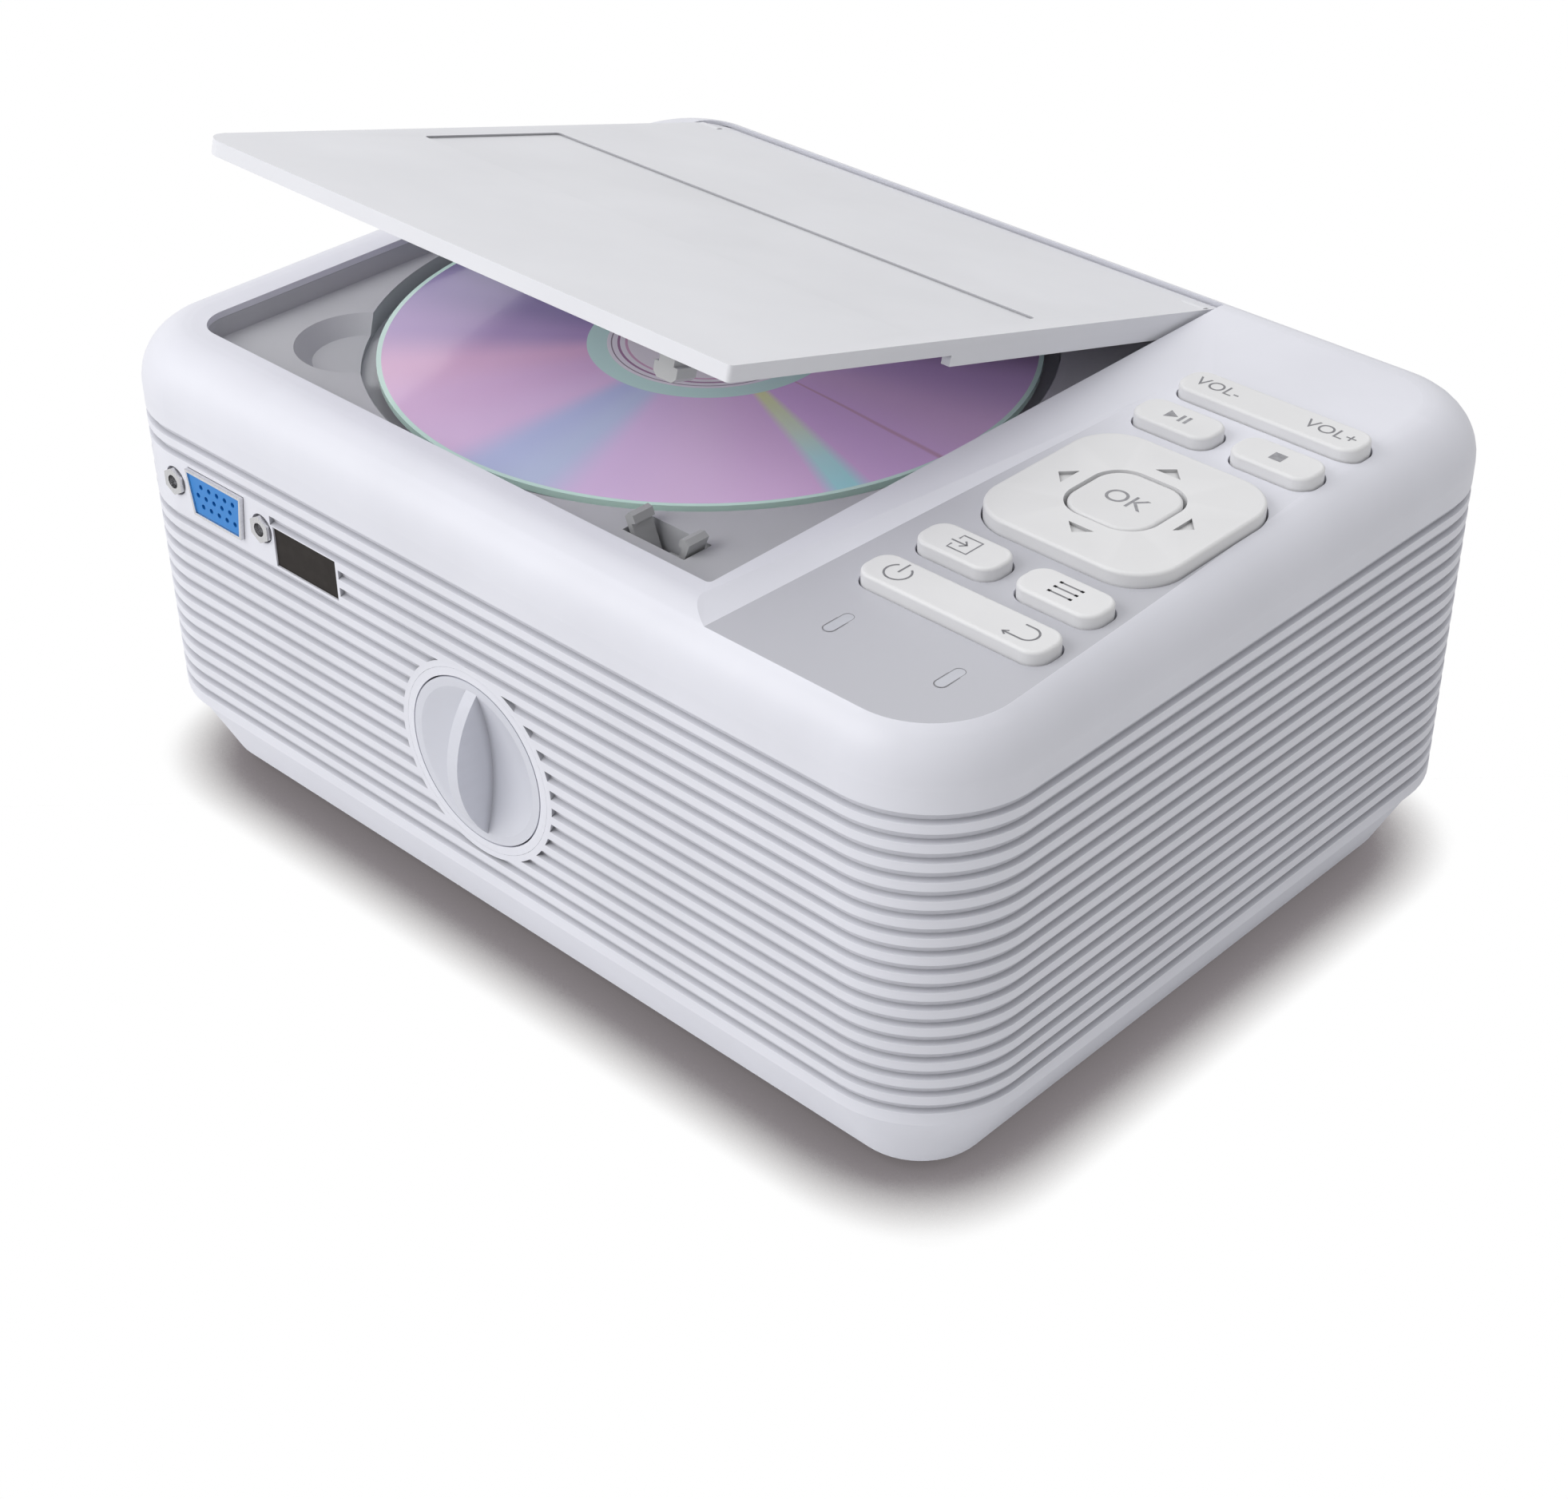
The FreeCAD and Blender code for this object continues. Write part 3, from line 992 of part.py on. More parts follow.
def lens_cap():
    back = FRONT_Y + CAP_DEPTH
    plug = rod_y(CAP_R, FRONT_Y, back, LENS_X, LENS_Z)
    sphere_r = (CAP_DISH_R ** 2 + CAP_DISH ** 2) / (2 * CAP_DISH)
    dish = Part.makeSphere(sphere_r, V(LENS_X, FRONT_Y + CAP_DISH - sphere_r, LENS_Z))
    half = FIN_LENGTH / 2
    x0 = LENS_X + FIN_OFFSET - FIN_THICK / 2
    foot = FRONT_Y + CAP_DISH
    arc = Part.Arc(V(x0, FRONT_Y, LENS_Z - half), V(x0, FRONT_Y - FIN_PROUD, LENS_Z),
                   V(x0, FRONT_Y, LENS_Z + half)).toShape()
    sides = Part.makePolygon([V(x0, FRONT_Y, LENS_Z + half), V(x0, foot, LENS_Z + half * FIN_FOOT),
                              V(x0, foot, LENS_Z - half * FIN_FOOT), V(x0, FRONT_Y, LENS_Z - half)])
    fin = Part.Face(Part.Wire([arc] + sides.Edges)).extrude(V(FIN_THICK, 0, 0))
    seal_y = FRONT_Y + CAP_DEPTH - WALL
    seat = ring_y(BEZEL_R, CAP_R - SEAL_GROOVE, seal_y, seal_y + SEAL_THICK + 2 * FIT, LENS_X,
                  LENS_Z)
    save("lens_cap", plug.cut([dish, seat]).fuse([fin]).removeSplitter())
    save("cap_seal_ring", ring_y(BEZEL_BORE_R - FIT, CAP_R - SEAL_GROOVE + FIT, seal_y + FIT,
                                 seal_y + FIT + SEAL_THICK, LENS_X, LENS_Z))


def vga_outline(grow):
    half, slope, height = VGA_WIDTH / 2 + grow, VGA_NARROW / 2, VGA_HEIGHT / 2 + grow
    corners = [(-half + slope, -height), (half - slope, -height), (half, height), (-half, height)]
    return [(VGA_X + x, VGA_Z + z) for x, z in corners]


def vga_screw_x():
    return (VGA_X - VGA_SCREW_SPACING / 2, VGA_X + VGA_SCREW_SPACING / 2)


def vga_socket():
    board = FRONT_Y + PORT_BOARD_GAP
    front = FRONT_Y - VGA_PROUD
    shell = plate_xz(vga_outline(0), front, board - FIT)
    shell = shell.cut(plate_xz(vga_outline(-VGA_WALL), front - 1, board + 1))
    seat = FRONT_Y + WALL + 2 * FIT
    flange = box(VGA_X - VGA_FLANGE_X, VGA_X + VGA_FLANGE_X, seat, seat + VGA_FLANGE,
                 VGA_Z - VGA_FLANGE_Z, VGA_Z + VGA_FLANGE_Z)
    flange = flange.cut([plate_xz(vga_outline(-VGA_WALL), front, board)]
                        + [rod_y(VGA_CLEAR_R, front, board, x, VGA_Z) for x in vga_screw_x()])
    save("vga_shell", join(shell, flange))
    insert = plate_xz(vga_outline(-VGA_WALL - FIT), front + VGA_INSERT_SET, board - FIT)
    rows = ((1, VGA_STAGGER), (0, -VGA_STAGGER), (-1, VGA_STAGGER))
    pins = [rod_y(VGA_PIN_R, front, front + VGA_PIN_DEPTH,
                  VGA_X + (column - VGA_COLUMNS // 2 + shift) * VGA_PIN_PITCH,
                  VGA_Z + row * VGA_PIN_ROW)
            for row, shift in rows for column in range(VGA_COLUMNS)]
    save("vga_insert", insert.cut(pins))
    screws = []
    for x in vga_screw_x():
        nut = hexagon(VGA_HEX_R, FRONT_Y - VGA_HEX_PROUD, FRONT_Y + WALL + FIT, x, VGA_Z)
        shank = rod_y(VGA_THREAD_R, FRONT_Y + WALL, board + BOARD_THICK, x, VGA_Z)
        tip = FRONT_Y - VGA_HEX_PROUD
        screws.append(join(nut, shank).cut(rod_y(VGA_THREAD_R, tip - 1, tip + VGA_THREAD_DEPTH, x,
                                                 VGA_Z)))
    save("vga_jack_screws", *screws)


def hexagon(r, y0, y1, x, z):
    turns = [math.pi * (i + 0.5) / 3 for i in range(6)]
    return plate_xz([(x + r * math.cos(turn), z + r * math.sin(turn)) for turn in turns], y0, y1)


def front_board():
    y0 = FRONT_Y + PORT_BOARD_GAP
    board = box(VGA_X - VGA_FLANGE_X - PORT_BOARD_EDGE, IR_RIGHT + PORT_BOARD_EDGE, y0,
                y0 + BOARD_THICK, PATCH_BOTTOM - 2 * PORT_BOARD_EDGE, PATCH_TOP + PORT_BOARD_EDGE)
    holes = [rod_y(VGA_CLEAR_R, y0 - 1, y0 + BOARD_THICK + 1, x, VGA_Z) for x in vga_screw_x()]
    eye_x, eye_z, half = (IR_LEFT + IR_RIGHT) / 2, (IR_BOTTOM + IR_TOP) / 2, EYE_SIZE / 2
    eye = box(eye_x - half, eye_x + half, y0 - EYE_DEPTH, y0, eye_z - half, eye_z + half)
    save("port_board", board.cut(holes), eye)
    glass = box(IR_LEFT, IR_RIGHT, FRONT_Y + GAP, FRONT_Y + WALL, IR_BOTTOM, IR_TOP)
    rim = box(IR_LEFT - IR_RIM, IR_RIGHT + IR_RIM, FRONT_Y + WALL + FIT / 2,
              FRONT_Y + WALL + IR_THICK, IR_BOTTOM - IR_RIM, IR_TOP + IR_RIM)
    glass = glass.fuse([box(IR_LEFT, IR_RIGHT, FRONT_Y + WALL, FRONT_Y + WALL + FIT, IR_BOTTOM,
                            IR_TOP), rim]).removeSplitter()
    save("infrared_window", glass)


# ---- button panel -----------------------------------------------------------------------
def key_cap(name, flange_top, grow=BUTTON_FLANGE):
    """Key with a flange under the cover, its top standing proud of the panel."""
    dx, dy, sx, sy, r = BUTTONS[name]
    x, y = PANEL_X + dx, PANEL_Y + dy
    top = panel_z(y) + BUTTON_PROUD
    cap = pill(x, y, sx, sy, flange_top - BUTTON_FLANGE / 2, top, r)
    cap = rounded(cap, BUTTON_ROUND, lambda edge: edge.BoundBox.ZMin > top - FIT)
    flange = pill(x, y, sx + 2 * grow, sy + 2 * grow, KEY_FLOOR, flange_top, r + grow)
    return cap.fuse([flange]).removeSplitter()


def rocker(name):
    dx, dy, sx, sy, r = BUTTONS[name]
    y, half = PANEL_Y + dy, sy / 2 + BUTTON_FLANGE
    reach = half + TRUNNION_LENGTH
    return key_cap(name, PANEL_INSIDE - ROCKER_GAP).fuse(
        [rod_y(TRUNNION_R, y - reach, y + reach, PANEL_X + dx, ROCKER_Z)]).removeSplitter()


def direction_pad():
    flange_top = PANEL_INSIDE - PAD_GAP
    pad = key_cap("direction_pad", flange_top)
    top = panel_z(PANEL_Y) + BUTTON_PROUD
    hole = pill(PANEL_X, PANEL_Y, OK_SIZE + 2 * OK_GAP, OK_SIZE + 2 * OK_GAP, KEY_FLOOR - 1,
                top + 1, OK_R + OK_GAP)
    lug_y = OK_SIZE / 2 + OK_GAP
    pad = pad.cut([hole])
    lugs = []
    for side in (-1, 1):
        ends = (PANEL_Y + side * lug_y, PANEL_Y + side * (lug_y + PAD_LUG))
        lugs.append(box(PANEL_X - POST_HALF, PANEL_X + POST_HALF, min(ends), max(ends),
                        PIVOT_Z - PIVOT_PIN_R - SLIP, KEY_FLOOR + FIT))
    arrows = []
    for quarter in range(4):
        tip, back = ARROW_OFFSET + ARROW_LENGTH / 2, ARROW_OFFSET - ARROW_LENGTH / 2
        half = ARROW_WIDTH / 2
        points = [V(tip, 0, 0), V(back, half, 0), V(back, -half, 0), V(tip, 0, 0)]
        arrow = Part.Face(Part.makePolygon(points)).extrude(V(0, 0, 1))
        arrow.rotate(V(0, 0, 0), V(0, 0, 1), 90 * quarter)
        arrow.translate(V(PANEL_X, PANEL_Y, top - ARROW_DEPTH))
        arrows.append(arrow)
    bores = rod_y(PIVOT_PIN_R + FIT, PANEL_Y - PAD_SIZE / 2, PANEL_Y + PAD_SIZE / 2, PANEL_X,
                  PIVOT_Z)
    save("direction_pad", pad.fuse(lugs).cut(arrows + [bores]))


def pad_pivot():
    ring = rod_z(PIVOT_RING_R, PIVOT_RING_Z, PIVOT_RING_Z + PIVOT_RING_HEIGHT, PANEL_X, PANEL_Y)
    inner = PIVOT_RING_R - PIVOT_RING_WALL
    ring = ring.cut(rod_z(inner, PIVOT_RING_Z - 1, TOP_Z, PANEL_X, PANEL_Y))
    pins = []
    for side in (-1, 1):
        x = (PANEL_X + side * PIVOT_POST_X, PANEL_X + side * (inner + FIT))
        pins.append(rod_x(PIVOT_PIN_R, min(x), max(x), PANEL_Y, PIVOT_Z))
        y = (PANEL_Y + side * (PIVOT_RING_R - FIT), PANEL_Y + side * (OK_SIZE / 2 + OK_GAP + PAD_LUG))
        pins.append(rod_y(PIVOT_PIN_R, min(y), max(y), PANEL_X, PIVOT_Z))
    save("pad_pivot", ring.fuse(pins).removeSplitter())


def ok_button():
    top = panel_z(PANEL_Y) + BUTTON_PROUD
    cap = pill(PANEL_X, PANEL_Y, OK_SIZE, OK_SIZE, PANEL_INSIDE - PAD_GAP, top, OK_R)
    cap = rounded(cap, BUTTON_ROUND, lambda edge: edge.BoundBox.ZMin > top - FIT)
    save("ok_button", join(cap, rod_z(SWITCH_SIZE / 2, KEY_FLOOR, PANEL_INSIDE, PANEL_X, PANEL_Y)))


def switch_spots():
    spots = [(PANEL_X, PANEL_Y)]
    spots += [(PANEL_X + sx * ARROW_OFFSET, PANEL_Y + sy * ARROW_OFFSET)
              for sx, sy in ((1, 0), (-1, 0), (0, 1), (0, -1))]
    for name, (dx, dy, *_) in BUTTONS.items():
        if name.endswith("rocker"):
            spots += [(PANEL_X - ARROW_OFFSET, PANEL_Y + dy), (PANEL_X + ARROW_OFFSET, PANEL_Y + dy)]
        elif name.endswith("button"):
            spots.append((PANEL_X + dx, PANEL_Y + dy))
    return spots


def panel_inner():
    x0, x1, y0, y1 = KEY_BOARD
    board = box(x0, x1, y0, y1, KEY_BOARD_Z, KEY_BOARD_TOP)
    frame = box(x0, x1, y0, y1, KEY_FRAME_Z, KEY_FRAME_TOP)
    holes = [rod_z(SMALL_SCREW_R + SLIP, KEY_BOARD_Z - 1, KEY_FRAME_TOP + 1, x, y)
             for x, y in KEY_SCREWS]
    spacers = [rod_z(BOSS_R, KEY_BOARD_TOP, KEY_FRAME_Z + FIT, x, y) for x, y in KEY_SCREWS]
    lights = [pill(x, LIGHT_Y, LIGHT_WIDTH, LIGHT_LENGTH, KEY_BOARD_TOP, KEY_FRAME_Z - GAP,
                   LIGHT_CHIP_R)
              for x in LIGHT_X]
    save("key_board", board.cut(holes), *lights)
    posts = []
    for name in ("volume_rocker", "power_rocker"):
        _, dy, _, sy, _ = BUTTONS[name]
        for side in (-1, 1):
            y = PANEL_Y + dy + side * (sy / 2 + BUTTON_FLANGE + TRUNNION_LENGTH / 2 + GAP / 2)
            half = TRUNNION_LENGTH / 2 - GAP / 2
            posts.append(box(PANEL_X - POST_HALF, PANEL_X + POST_HALF, y - half, y + half,
                             KEY_FRAME_TOP - FIT, ROCKER_Z))
    for side in (-1, 1):
        x = PANEL_X + side * (PIVOT_POST_X + PIVOT_POST_SET)
        posts.append(box(x - PIVOT_POST_HALF, x + PIVOT_POST_HALF, PANEL_Y - POST_HALF,
                         PANEL_Y + POST_HALF, KEY_FRAME_TOP - FIT, PIVOT_Z + PIVOT_PIN_R))
    half = SWITCH_SIZE / 2 + GAP
    windows = [box(x - half, x + half, y - half, y + half, KEY_FRAME_Z - 1, KEY_FRAME_TOP + FIT)
               for x, y in switch_spots()]
    windows += [pill(x, LIGHT_Y, LIGHT_WIDTH + LIGHT_COLLAR, LIGHT_LENGTH + LIGHT_COLLAR,
                     KEY_FRAME_Z - 1, KEY_FRAME_TOP + 1, LIGHT_COLLAR_R) for x in LIGHT_X]
    notches = [rod_y(TRUNNION_R + FIT, y0, y1, PANEL_X, ROCKER_Z),
               rod_x(PIVOT_PIN_R + FIT, x0, x1, PANEL_Y, PIVOT_Z)]
    save("key_frame", frame.cut(windows).fuse(posts + spacers).cut(notches + holes))
    switches = []
    half = SWITCH_SIZE / 2
    for x, y in switch_spots():
        body = box(x - half, x + half, y - half, y + half, KEY_BOARD_TOP,
                   KEY_BOARD_TOP + SWITCH_BODY)
        switches.append(join(body, rod_z(SWITCH_STEM_R, KEY_BOARD_TOP + 1, SWITCH_TOP, x, y)))
    save("key_switches", *switches)
    pipes = []
    for x in LIGHT_X:
        top = panel_z(LIGHT_Y + LIGHT_LENGTH / 2) - FIT
        pipe = pill(x, LIGHT_Y, LIGHT_WIDTH, LIGHT_LENGTH, KEY_FRAME_Z, top, LIGHT_WIDTH / 2 - FIT)
        collar = pill(x, LIGHT_Y, LIGHT_WIDTH + LIGHT_COLLAR, LIGHT_LENGTH + LIGHT_COLLAR,
                      PANEL_INSIDE - 1, PANEL_INSIDE - FIT, LIGHT_COLLAR_R)
        pipes.append(join(pipe, collar))
    save("light_pipes", *pipes)


# ---- projection engine ------------------------------------------------------------------
def engine_box(grow, y0, y1):
    x, z = ENGINE_HALF_X + grow, ENGINE_HALF_Z + grow
    return box(LENS_X - x, LENS_X + x, y0, y1, LENS_Z - z, LENS_Z + z)


def engine_housing():
    shell = engine_box(0, ENGINE_FRONT, ENGINE_BACK)
    shell = shell.cut(engine_box(-ENGINE_WALL, ENGINE_FRONT + ENGINE_WALL, ENGINE_BACK + 1))
    tube = rod_y(BARREL_R + TUBE_WALL, TUBE_FRONT, ENGINE_FRONT + FIT, LENS_X, LENS_Z)
    legs = [rod_z(LEG_SIZE / 2, BASE_FLOOR + WALL, LENS_Z - ENGINE_HALF_Z + FIT, x, y)
            for x, y in engine_legs()]
    bore = rod_y(BARREL_R + SLIP, TUBE_FRONT - 1, ENGINE_FRONT + 2 * ENGINE_WALL, LENS_X, LENS_Z)
    save("engine_housing", shell.fuse([tube] + legs).cut([bore]))


def plate_in_engine(y, thick):
    return engine_box(-ENGINE_WALL - FIT, y - thick / 2, y + thick / 2)


def lens(r, y, thick):
    """Glass disc with both faces domed."""
    ball = LENS_CURVE * r
    rod = rod_y(r, y - thick, y + thick, LENS_X, LENS_Z)
    front = Part.makeSphere(ball, V(LENS_X, y - thick / 2 + ball, LENS_Z))
    back = Part.makeSphere(ball, V(LENS_X, y + thick / 2 - ball, LENS_Z))
    return rod.common(front).common(back)


def optics():
    inner = BARREL_R - BARREL_WALL
    save("lens_barrel", ring_y(BARREL_R, inner, BARREL_FRONT, BARREL_BACK, LENS_X, LENS_Z))
    step = (BARREL_BACK - BARREL_FRONT) / ELEMENTS
    save("lens_elements", *[lens(inner - FIT, BARREL_FRONT + step * (i + ELEMENT_START),
                                 GLASS_THICK) for i in range(ELEMENTS)])
    ring = ring_y(FOCUS_R, BARREL_R + SLIP, FOCUS_FRONT, TUBE_FRONT - GAP, LENS_X, LENS_Z)
    ribs = []
    for i in range(FOCUS_RIBS):
        turn = 2 * math.pi * i / FOCUS_RIBS
        ribs.append(rod_y(FOCUS_RIB, FOCUS_FRONT + 1, TUBE_FRONT - 1 - GAP,
                          LENS_X + FOCUS_R * math.cos(turn), LENS_Z + FOCUS_R * math.sin(turn)))
    save("focus_ring", ring.cut(ribs))
    mount = plate_in_engine(CONDENSER_Y, PLATE_THICK)
    mount = mount.cut(rod_y(CONDENSER_R - 1, 0, ENGINE_BACK, LENS_X, LENS_Z))
    condenser = lens(CONDENSER_R, CONDENSER_Y + PLATE_THICK / 2 + GAP, GLASS_THICK)
    save("field_lenses", *[plate_in_engine(y, PLATE_THICK) for y in FIELD_Y], condenser.cut(mount),
         mount)
    save("lcd_panel", plate_in_engine(LCD_Y, LCD_THICK))
    lamp = engine_box(0, ENGINE_BACK + FIT, ENGINE_BACK + LAMP_THICK)
    chip = LAMP_CHIP / 2
    save("lamp_board", lamp, box(LENS_X - chip, LENS_X + chip, ENGINE_BACK - 1, ENGINE_BACK + FIT,
                                 LENS_Z - chip, LENS_Z + chip))


def cooling():
    half = FAN_SIZE / 2
    low, high = LENS_Z - half, LENS_Z + half
    base_y = ENGINE_BACK + LAMP_THICK
    base = box(LENS_X - half, LENS_X + half, base_y, base_y + SINK_BASE, low, high)
    pitch = (FAN_SIZE - SINK_FIN) / (SINK_FINS - 1)
    fins = [box(LENS_X - half + i * pitch, LENS_X - half + i * pitch + SINK_FIN, base_y,
                FAN_FRONT - GAP, low, high) for i in range(SINK_FINS)]
    save("heat_sink", base.fuse(fins).removeSplitter())
    back = FAN_FRONT + FAN_DEPTH
    frame = box(LENS_X - half, LENS_X + half, FAN_FRONT, back, low, high)
    frame = frame.cut(rod_y(FAN_R, FAN_FRONT - 1, back + 1, LENS_X, LENS_Z))
    spokes = [rod_y(FAN_HUB_R, back - FAN_SPOKE, back, LENS_X, LENS_Z)]
    for i in range(FAN_SPOKES):
        spoke = box(LENS_X, LENS_X + FAN_R + FAN_LIP, back - FAN_SPOKE, back,
                    LENS_Z - FAN_SPOKE / 2, LENS_Z + FAN_SPOKE / 2)
        spoke.rotate(V(LENS_X, 0, LENS_Z), V(0, 1, 0), 360 * i / FAN_SPOKES + FAN_SPOKE_TURN)
        spokes.append(spoke)
    pin = rod_y(FAN_SHAFT_R, FAN_FRONT + 2, back - 1, LENS_X, LENS_Z)
    save("fan_frame", frame.fuse(spokes + [pin]))
    hub = rod_y(FAN_HUB_R, FAN_FRONT + FAN_LIP, back - FAN_SPOKE - GAP, LENS_X, LENS_Z)
    middle = (FAN_FRONT + back - FAN_SPOKE) / 2
    half = FAN_BLADE_THICK / 2
    blades = []
    for i in range(FAN_BLADES):
        blade = box(FAN_HUB_R - 1, FAN_R - 1, -half, half, -FAN_BLADE_HALF, FAN_BLADE_HALF)
        blade.rotate(V(0, 0, 0), V(1, 0, 0), FAN_PITCH)
        blade.rotate(V(0, 0, 0), V(0, 1, 0), 360 * i / FAN_BLADES)
        blade.translate(V(LENS_X, middle, LENS_Z))
        blades.append(blade)
    rotor = hub.fuse(blades)
    save("fan_rotor", rotor.cut([rod_y(FAN_SHAFT_R + SLIP / 2, FAN_FRONT + 1, back, LENS_X,
                                       LENS_Z)]))


# ---- boards and ports -------------------------------------------------------------------
def circuit_boards():
    clear = CASE_BOSS_R + 1
    holes = [box(min(x - clear, math.copysign(LX, x)), max(x + clear, math.copysign(LX, x)),
                 min(y - clear, math.copysign(LY, y)), max(y + clear, math.copysign(LY, y)),
                 BOARD_Z - 1, BOARD_TOP + 1) for x, y in corner_spots()]
    for name, (x0, x1) in (("main_board", BOARD_LEFT), ("power_board", BOARD_RIGHT)):
        save(name, box(x0, x1, -BOARD_HALF, BOARD_HALF, BOARD_Z, BOARD_TOP).cut(holes))
    parts = []
    main, power = sum(BOARD_LEFT) / 2, sum(BOARD_RIGHT) / 2
    for middle, blocks in ((main, MAIN_CHIPS), (power, POWER_BLOCKS)):
        for x, y, size, height in blocks:
            parts.append(box(middle + x - size / 2, middle + x + size / 2, y - size / 2,
                             y + size / 2, BOARD_TOP, BOARD_TOP + height))
    parts += [rod_z(r, BOARD_TOP, BOARD_TOP + height, power + x, y) for x, y, r, height in POWER_CANS]
    save("board_parts", *parts)


def ports():
    y1 = BACK_Y - GAP
    y0 = y1 - PORT_DEPTH
    pieces = []
    for x, (sx, sz) in ((HDMI_X, HDMI_SIZE), (USB_X, USB_SIZE)):
        body = box(x - sx / 2, x + sx / 2, y0, y1, BOARD_TOP, BOARD_TOP + sz)
        half = sx / 2 - PORT_WALL
        mouth = box(x - half, x + half, y0 + PORT_FLOOR, y1 + 1, BOARD_TOP + PORT_WALL,
                    BOARD_TOP + sz - PORT_WALL)
        half, middle = sx / 2 - PORT_TONGUE_SIDE, BOARD_TOP + sz / 2
        tongue = box(x - half, x + half, y0 + 1, y1 - 1, middle - PORT_TONGUE / 2,
                     middle + PORT_TONGUE / 2)
        pieces.append(join(body.cut(mouth), tongue))
    for x in JACK_X:
        z = BOARD_TOP + JACK_BODY / 2
        half = JACK_BODY / 2
        wall = BACK_Y - WALL - GAP
        jack = join(box(x - half, x + half, y0, wall, BOARD_TOP, BOARD_TOP + JACK_BODY),
                    rod_y(JACK_R, y0 + 1, y1, x, z))
        pieces.append(jack.cut(rod_y(JACK_BORE_R, y0 + PORT_FLOOR, y1 + 1, x, z)))
    save("rear_ports", *pieces)
    half, y0 = INLET_WIDTH / 2, y1 - INLET_DEPTH
    body = box(INLET_X - half, INLET_X + half, y0, y1, BOARD_TOP, BOARD_TOP + INLET_HEIGHT)
    z = BOARD_TOP + INLET_HEIGHT / 2
    mouth = [rod_y(INLET_HEIGHT / 2 - 1, y0 + INLET_FLOOR, y1 + 1, INLET_X + side * INLET_PIN_SPREAD, z)
             for side in (-1, 1)]
    pins = [rod_y(INLET_PIN_R, y0 + INLET_FLOOR - 1, y1 - INLET_PIN_SET,
                  INLET_X + side * INLET_PIN_SPREAD, z) for side in (-1, 1)]
    save("power_inlet", body.cut(mouth).fuse(pins))


def speakers():
    pieces = []
    front = BACK_Y - WALL - FIT
    for x in (-SPEAKER_X, SPEAKER_X):
        rim = rod_y(SPEAKER_R, front - SPEAKER_RIM, front, x, SPEAKER_Z)
        back = front - SPEAKER_DEPTH
        magnet = rod_y(SPEAKER_MAGNET_R, back, back + SPEAKER_MAGNET, x, SPEAKER_Z)
        basket = back + SPEAKER_MAGNET - 1
        body = Part.makeCone(SPEAKER_MAGNET_R, SPEAKER_R - 1, front - SPEAKER_RIM + 1 - basket,
                             V(x, basket, SPEAKER_Z), V(0, 1, 0))
        bowl = Part.makeCone(SPEAKER_BOWL_R, SPEAKER_R - SPEAKER_RIM, SPEAKER_MAGNET,
                             V(x, front - SPEAKER_MAGNET + FIT, SPEAKER_Z), V(0, 1, 0))
        pieces.append(rim.fuse([body, magnet]).removeSplitter().cut(bowl))
    save("speakers", *pieces)


def build():
    os.makedirs("parts", exist_ok=True)
    for make in (top_cover, base_cover, feet_and_case_screws, disc_deck, disc_lid, hinge_pins,
                 lid_striker, latch_plunger, latch_spring, disc, spindle, drive_chassis,
                 sled_drive, pickup, drive_mounts, lens_bezel, lens_cap, vga_socket, front_board,
                 direction_pad, pad_pivot, ok_button, panel_inner, engine_housing, optics,
                 cooling, circuit_boards, ports, speakers):
        make()
    latch_jaw("left", -1)
    latch_jaw("right", 1)
    for name in ("play_button", "stop_button", "source_button", "menu_button"):
        save(name, key_cap(name, PANEL_INSIDE - GAP))
    for name in ("volume_rocker", "power_rocker"):
        save(name, rocker(name))


build()
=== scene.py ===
"""Looks of the projector with a disc player: materials, legends, light, floor and camera."""

import math

import bmesh
import bpy
from mathutils import Matrix, Vector


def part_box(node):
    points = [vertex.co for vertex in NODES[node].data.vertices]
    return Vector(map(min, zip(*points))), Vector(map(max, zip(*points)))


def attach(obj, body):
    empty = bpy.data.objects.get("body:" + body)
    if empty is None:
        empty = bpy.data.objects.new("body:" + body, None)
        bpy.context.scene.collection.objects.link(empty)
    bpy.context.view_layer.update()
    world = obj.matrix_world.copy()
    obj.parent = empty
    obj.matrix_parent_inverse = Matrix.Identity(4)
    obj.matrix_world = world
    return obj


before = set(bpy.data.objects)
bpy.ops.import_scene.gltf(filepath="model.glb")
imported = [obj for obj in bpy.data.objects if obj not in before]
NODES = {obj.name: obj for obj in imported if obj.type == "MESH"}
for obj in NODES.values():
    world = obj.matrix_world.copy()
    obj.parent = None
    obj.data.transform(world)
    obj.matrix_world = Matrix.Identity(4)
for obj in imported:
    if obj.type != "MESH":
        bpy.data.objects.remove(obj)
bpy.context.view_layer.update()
MM = 0.001


def corners(node):
    """Lowest and highest corner of a CAD node's box, in metres."""
    return [Vector(corner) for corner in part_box(node)]


# ---- node helpers -----------------------------------------------------------------------
EDGE_FLAT, EDGE_SHARP = 0.52, 0.62       # pointiness where an edge starts and ends to look worn


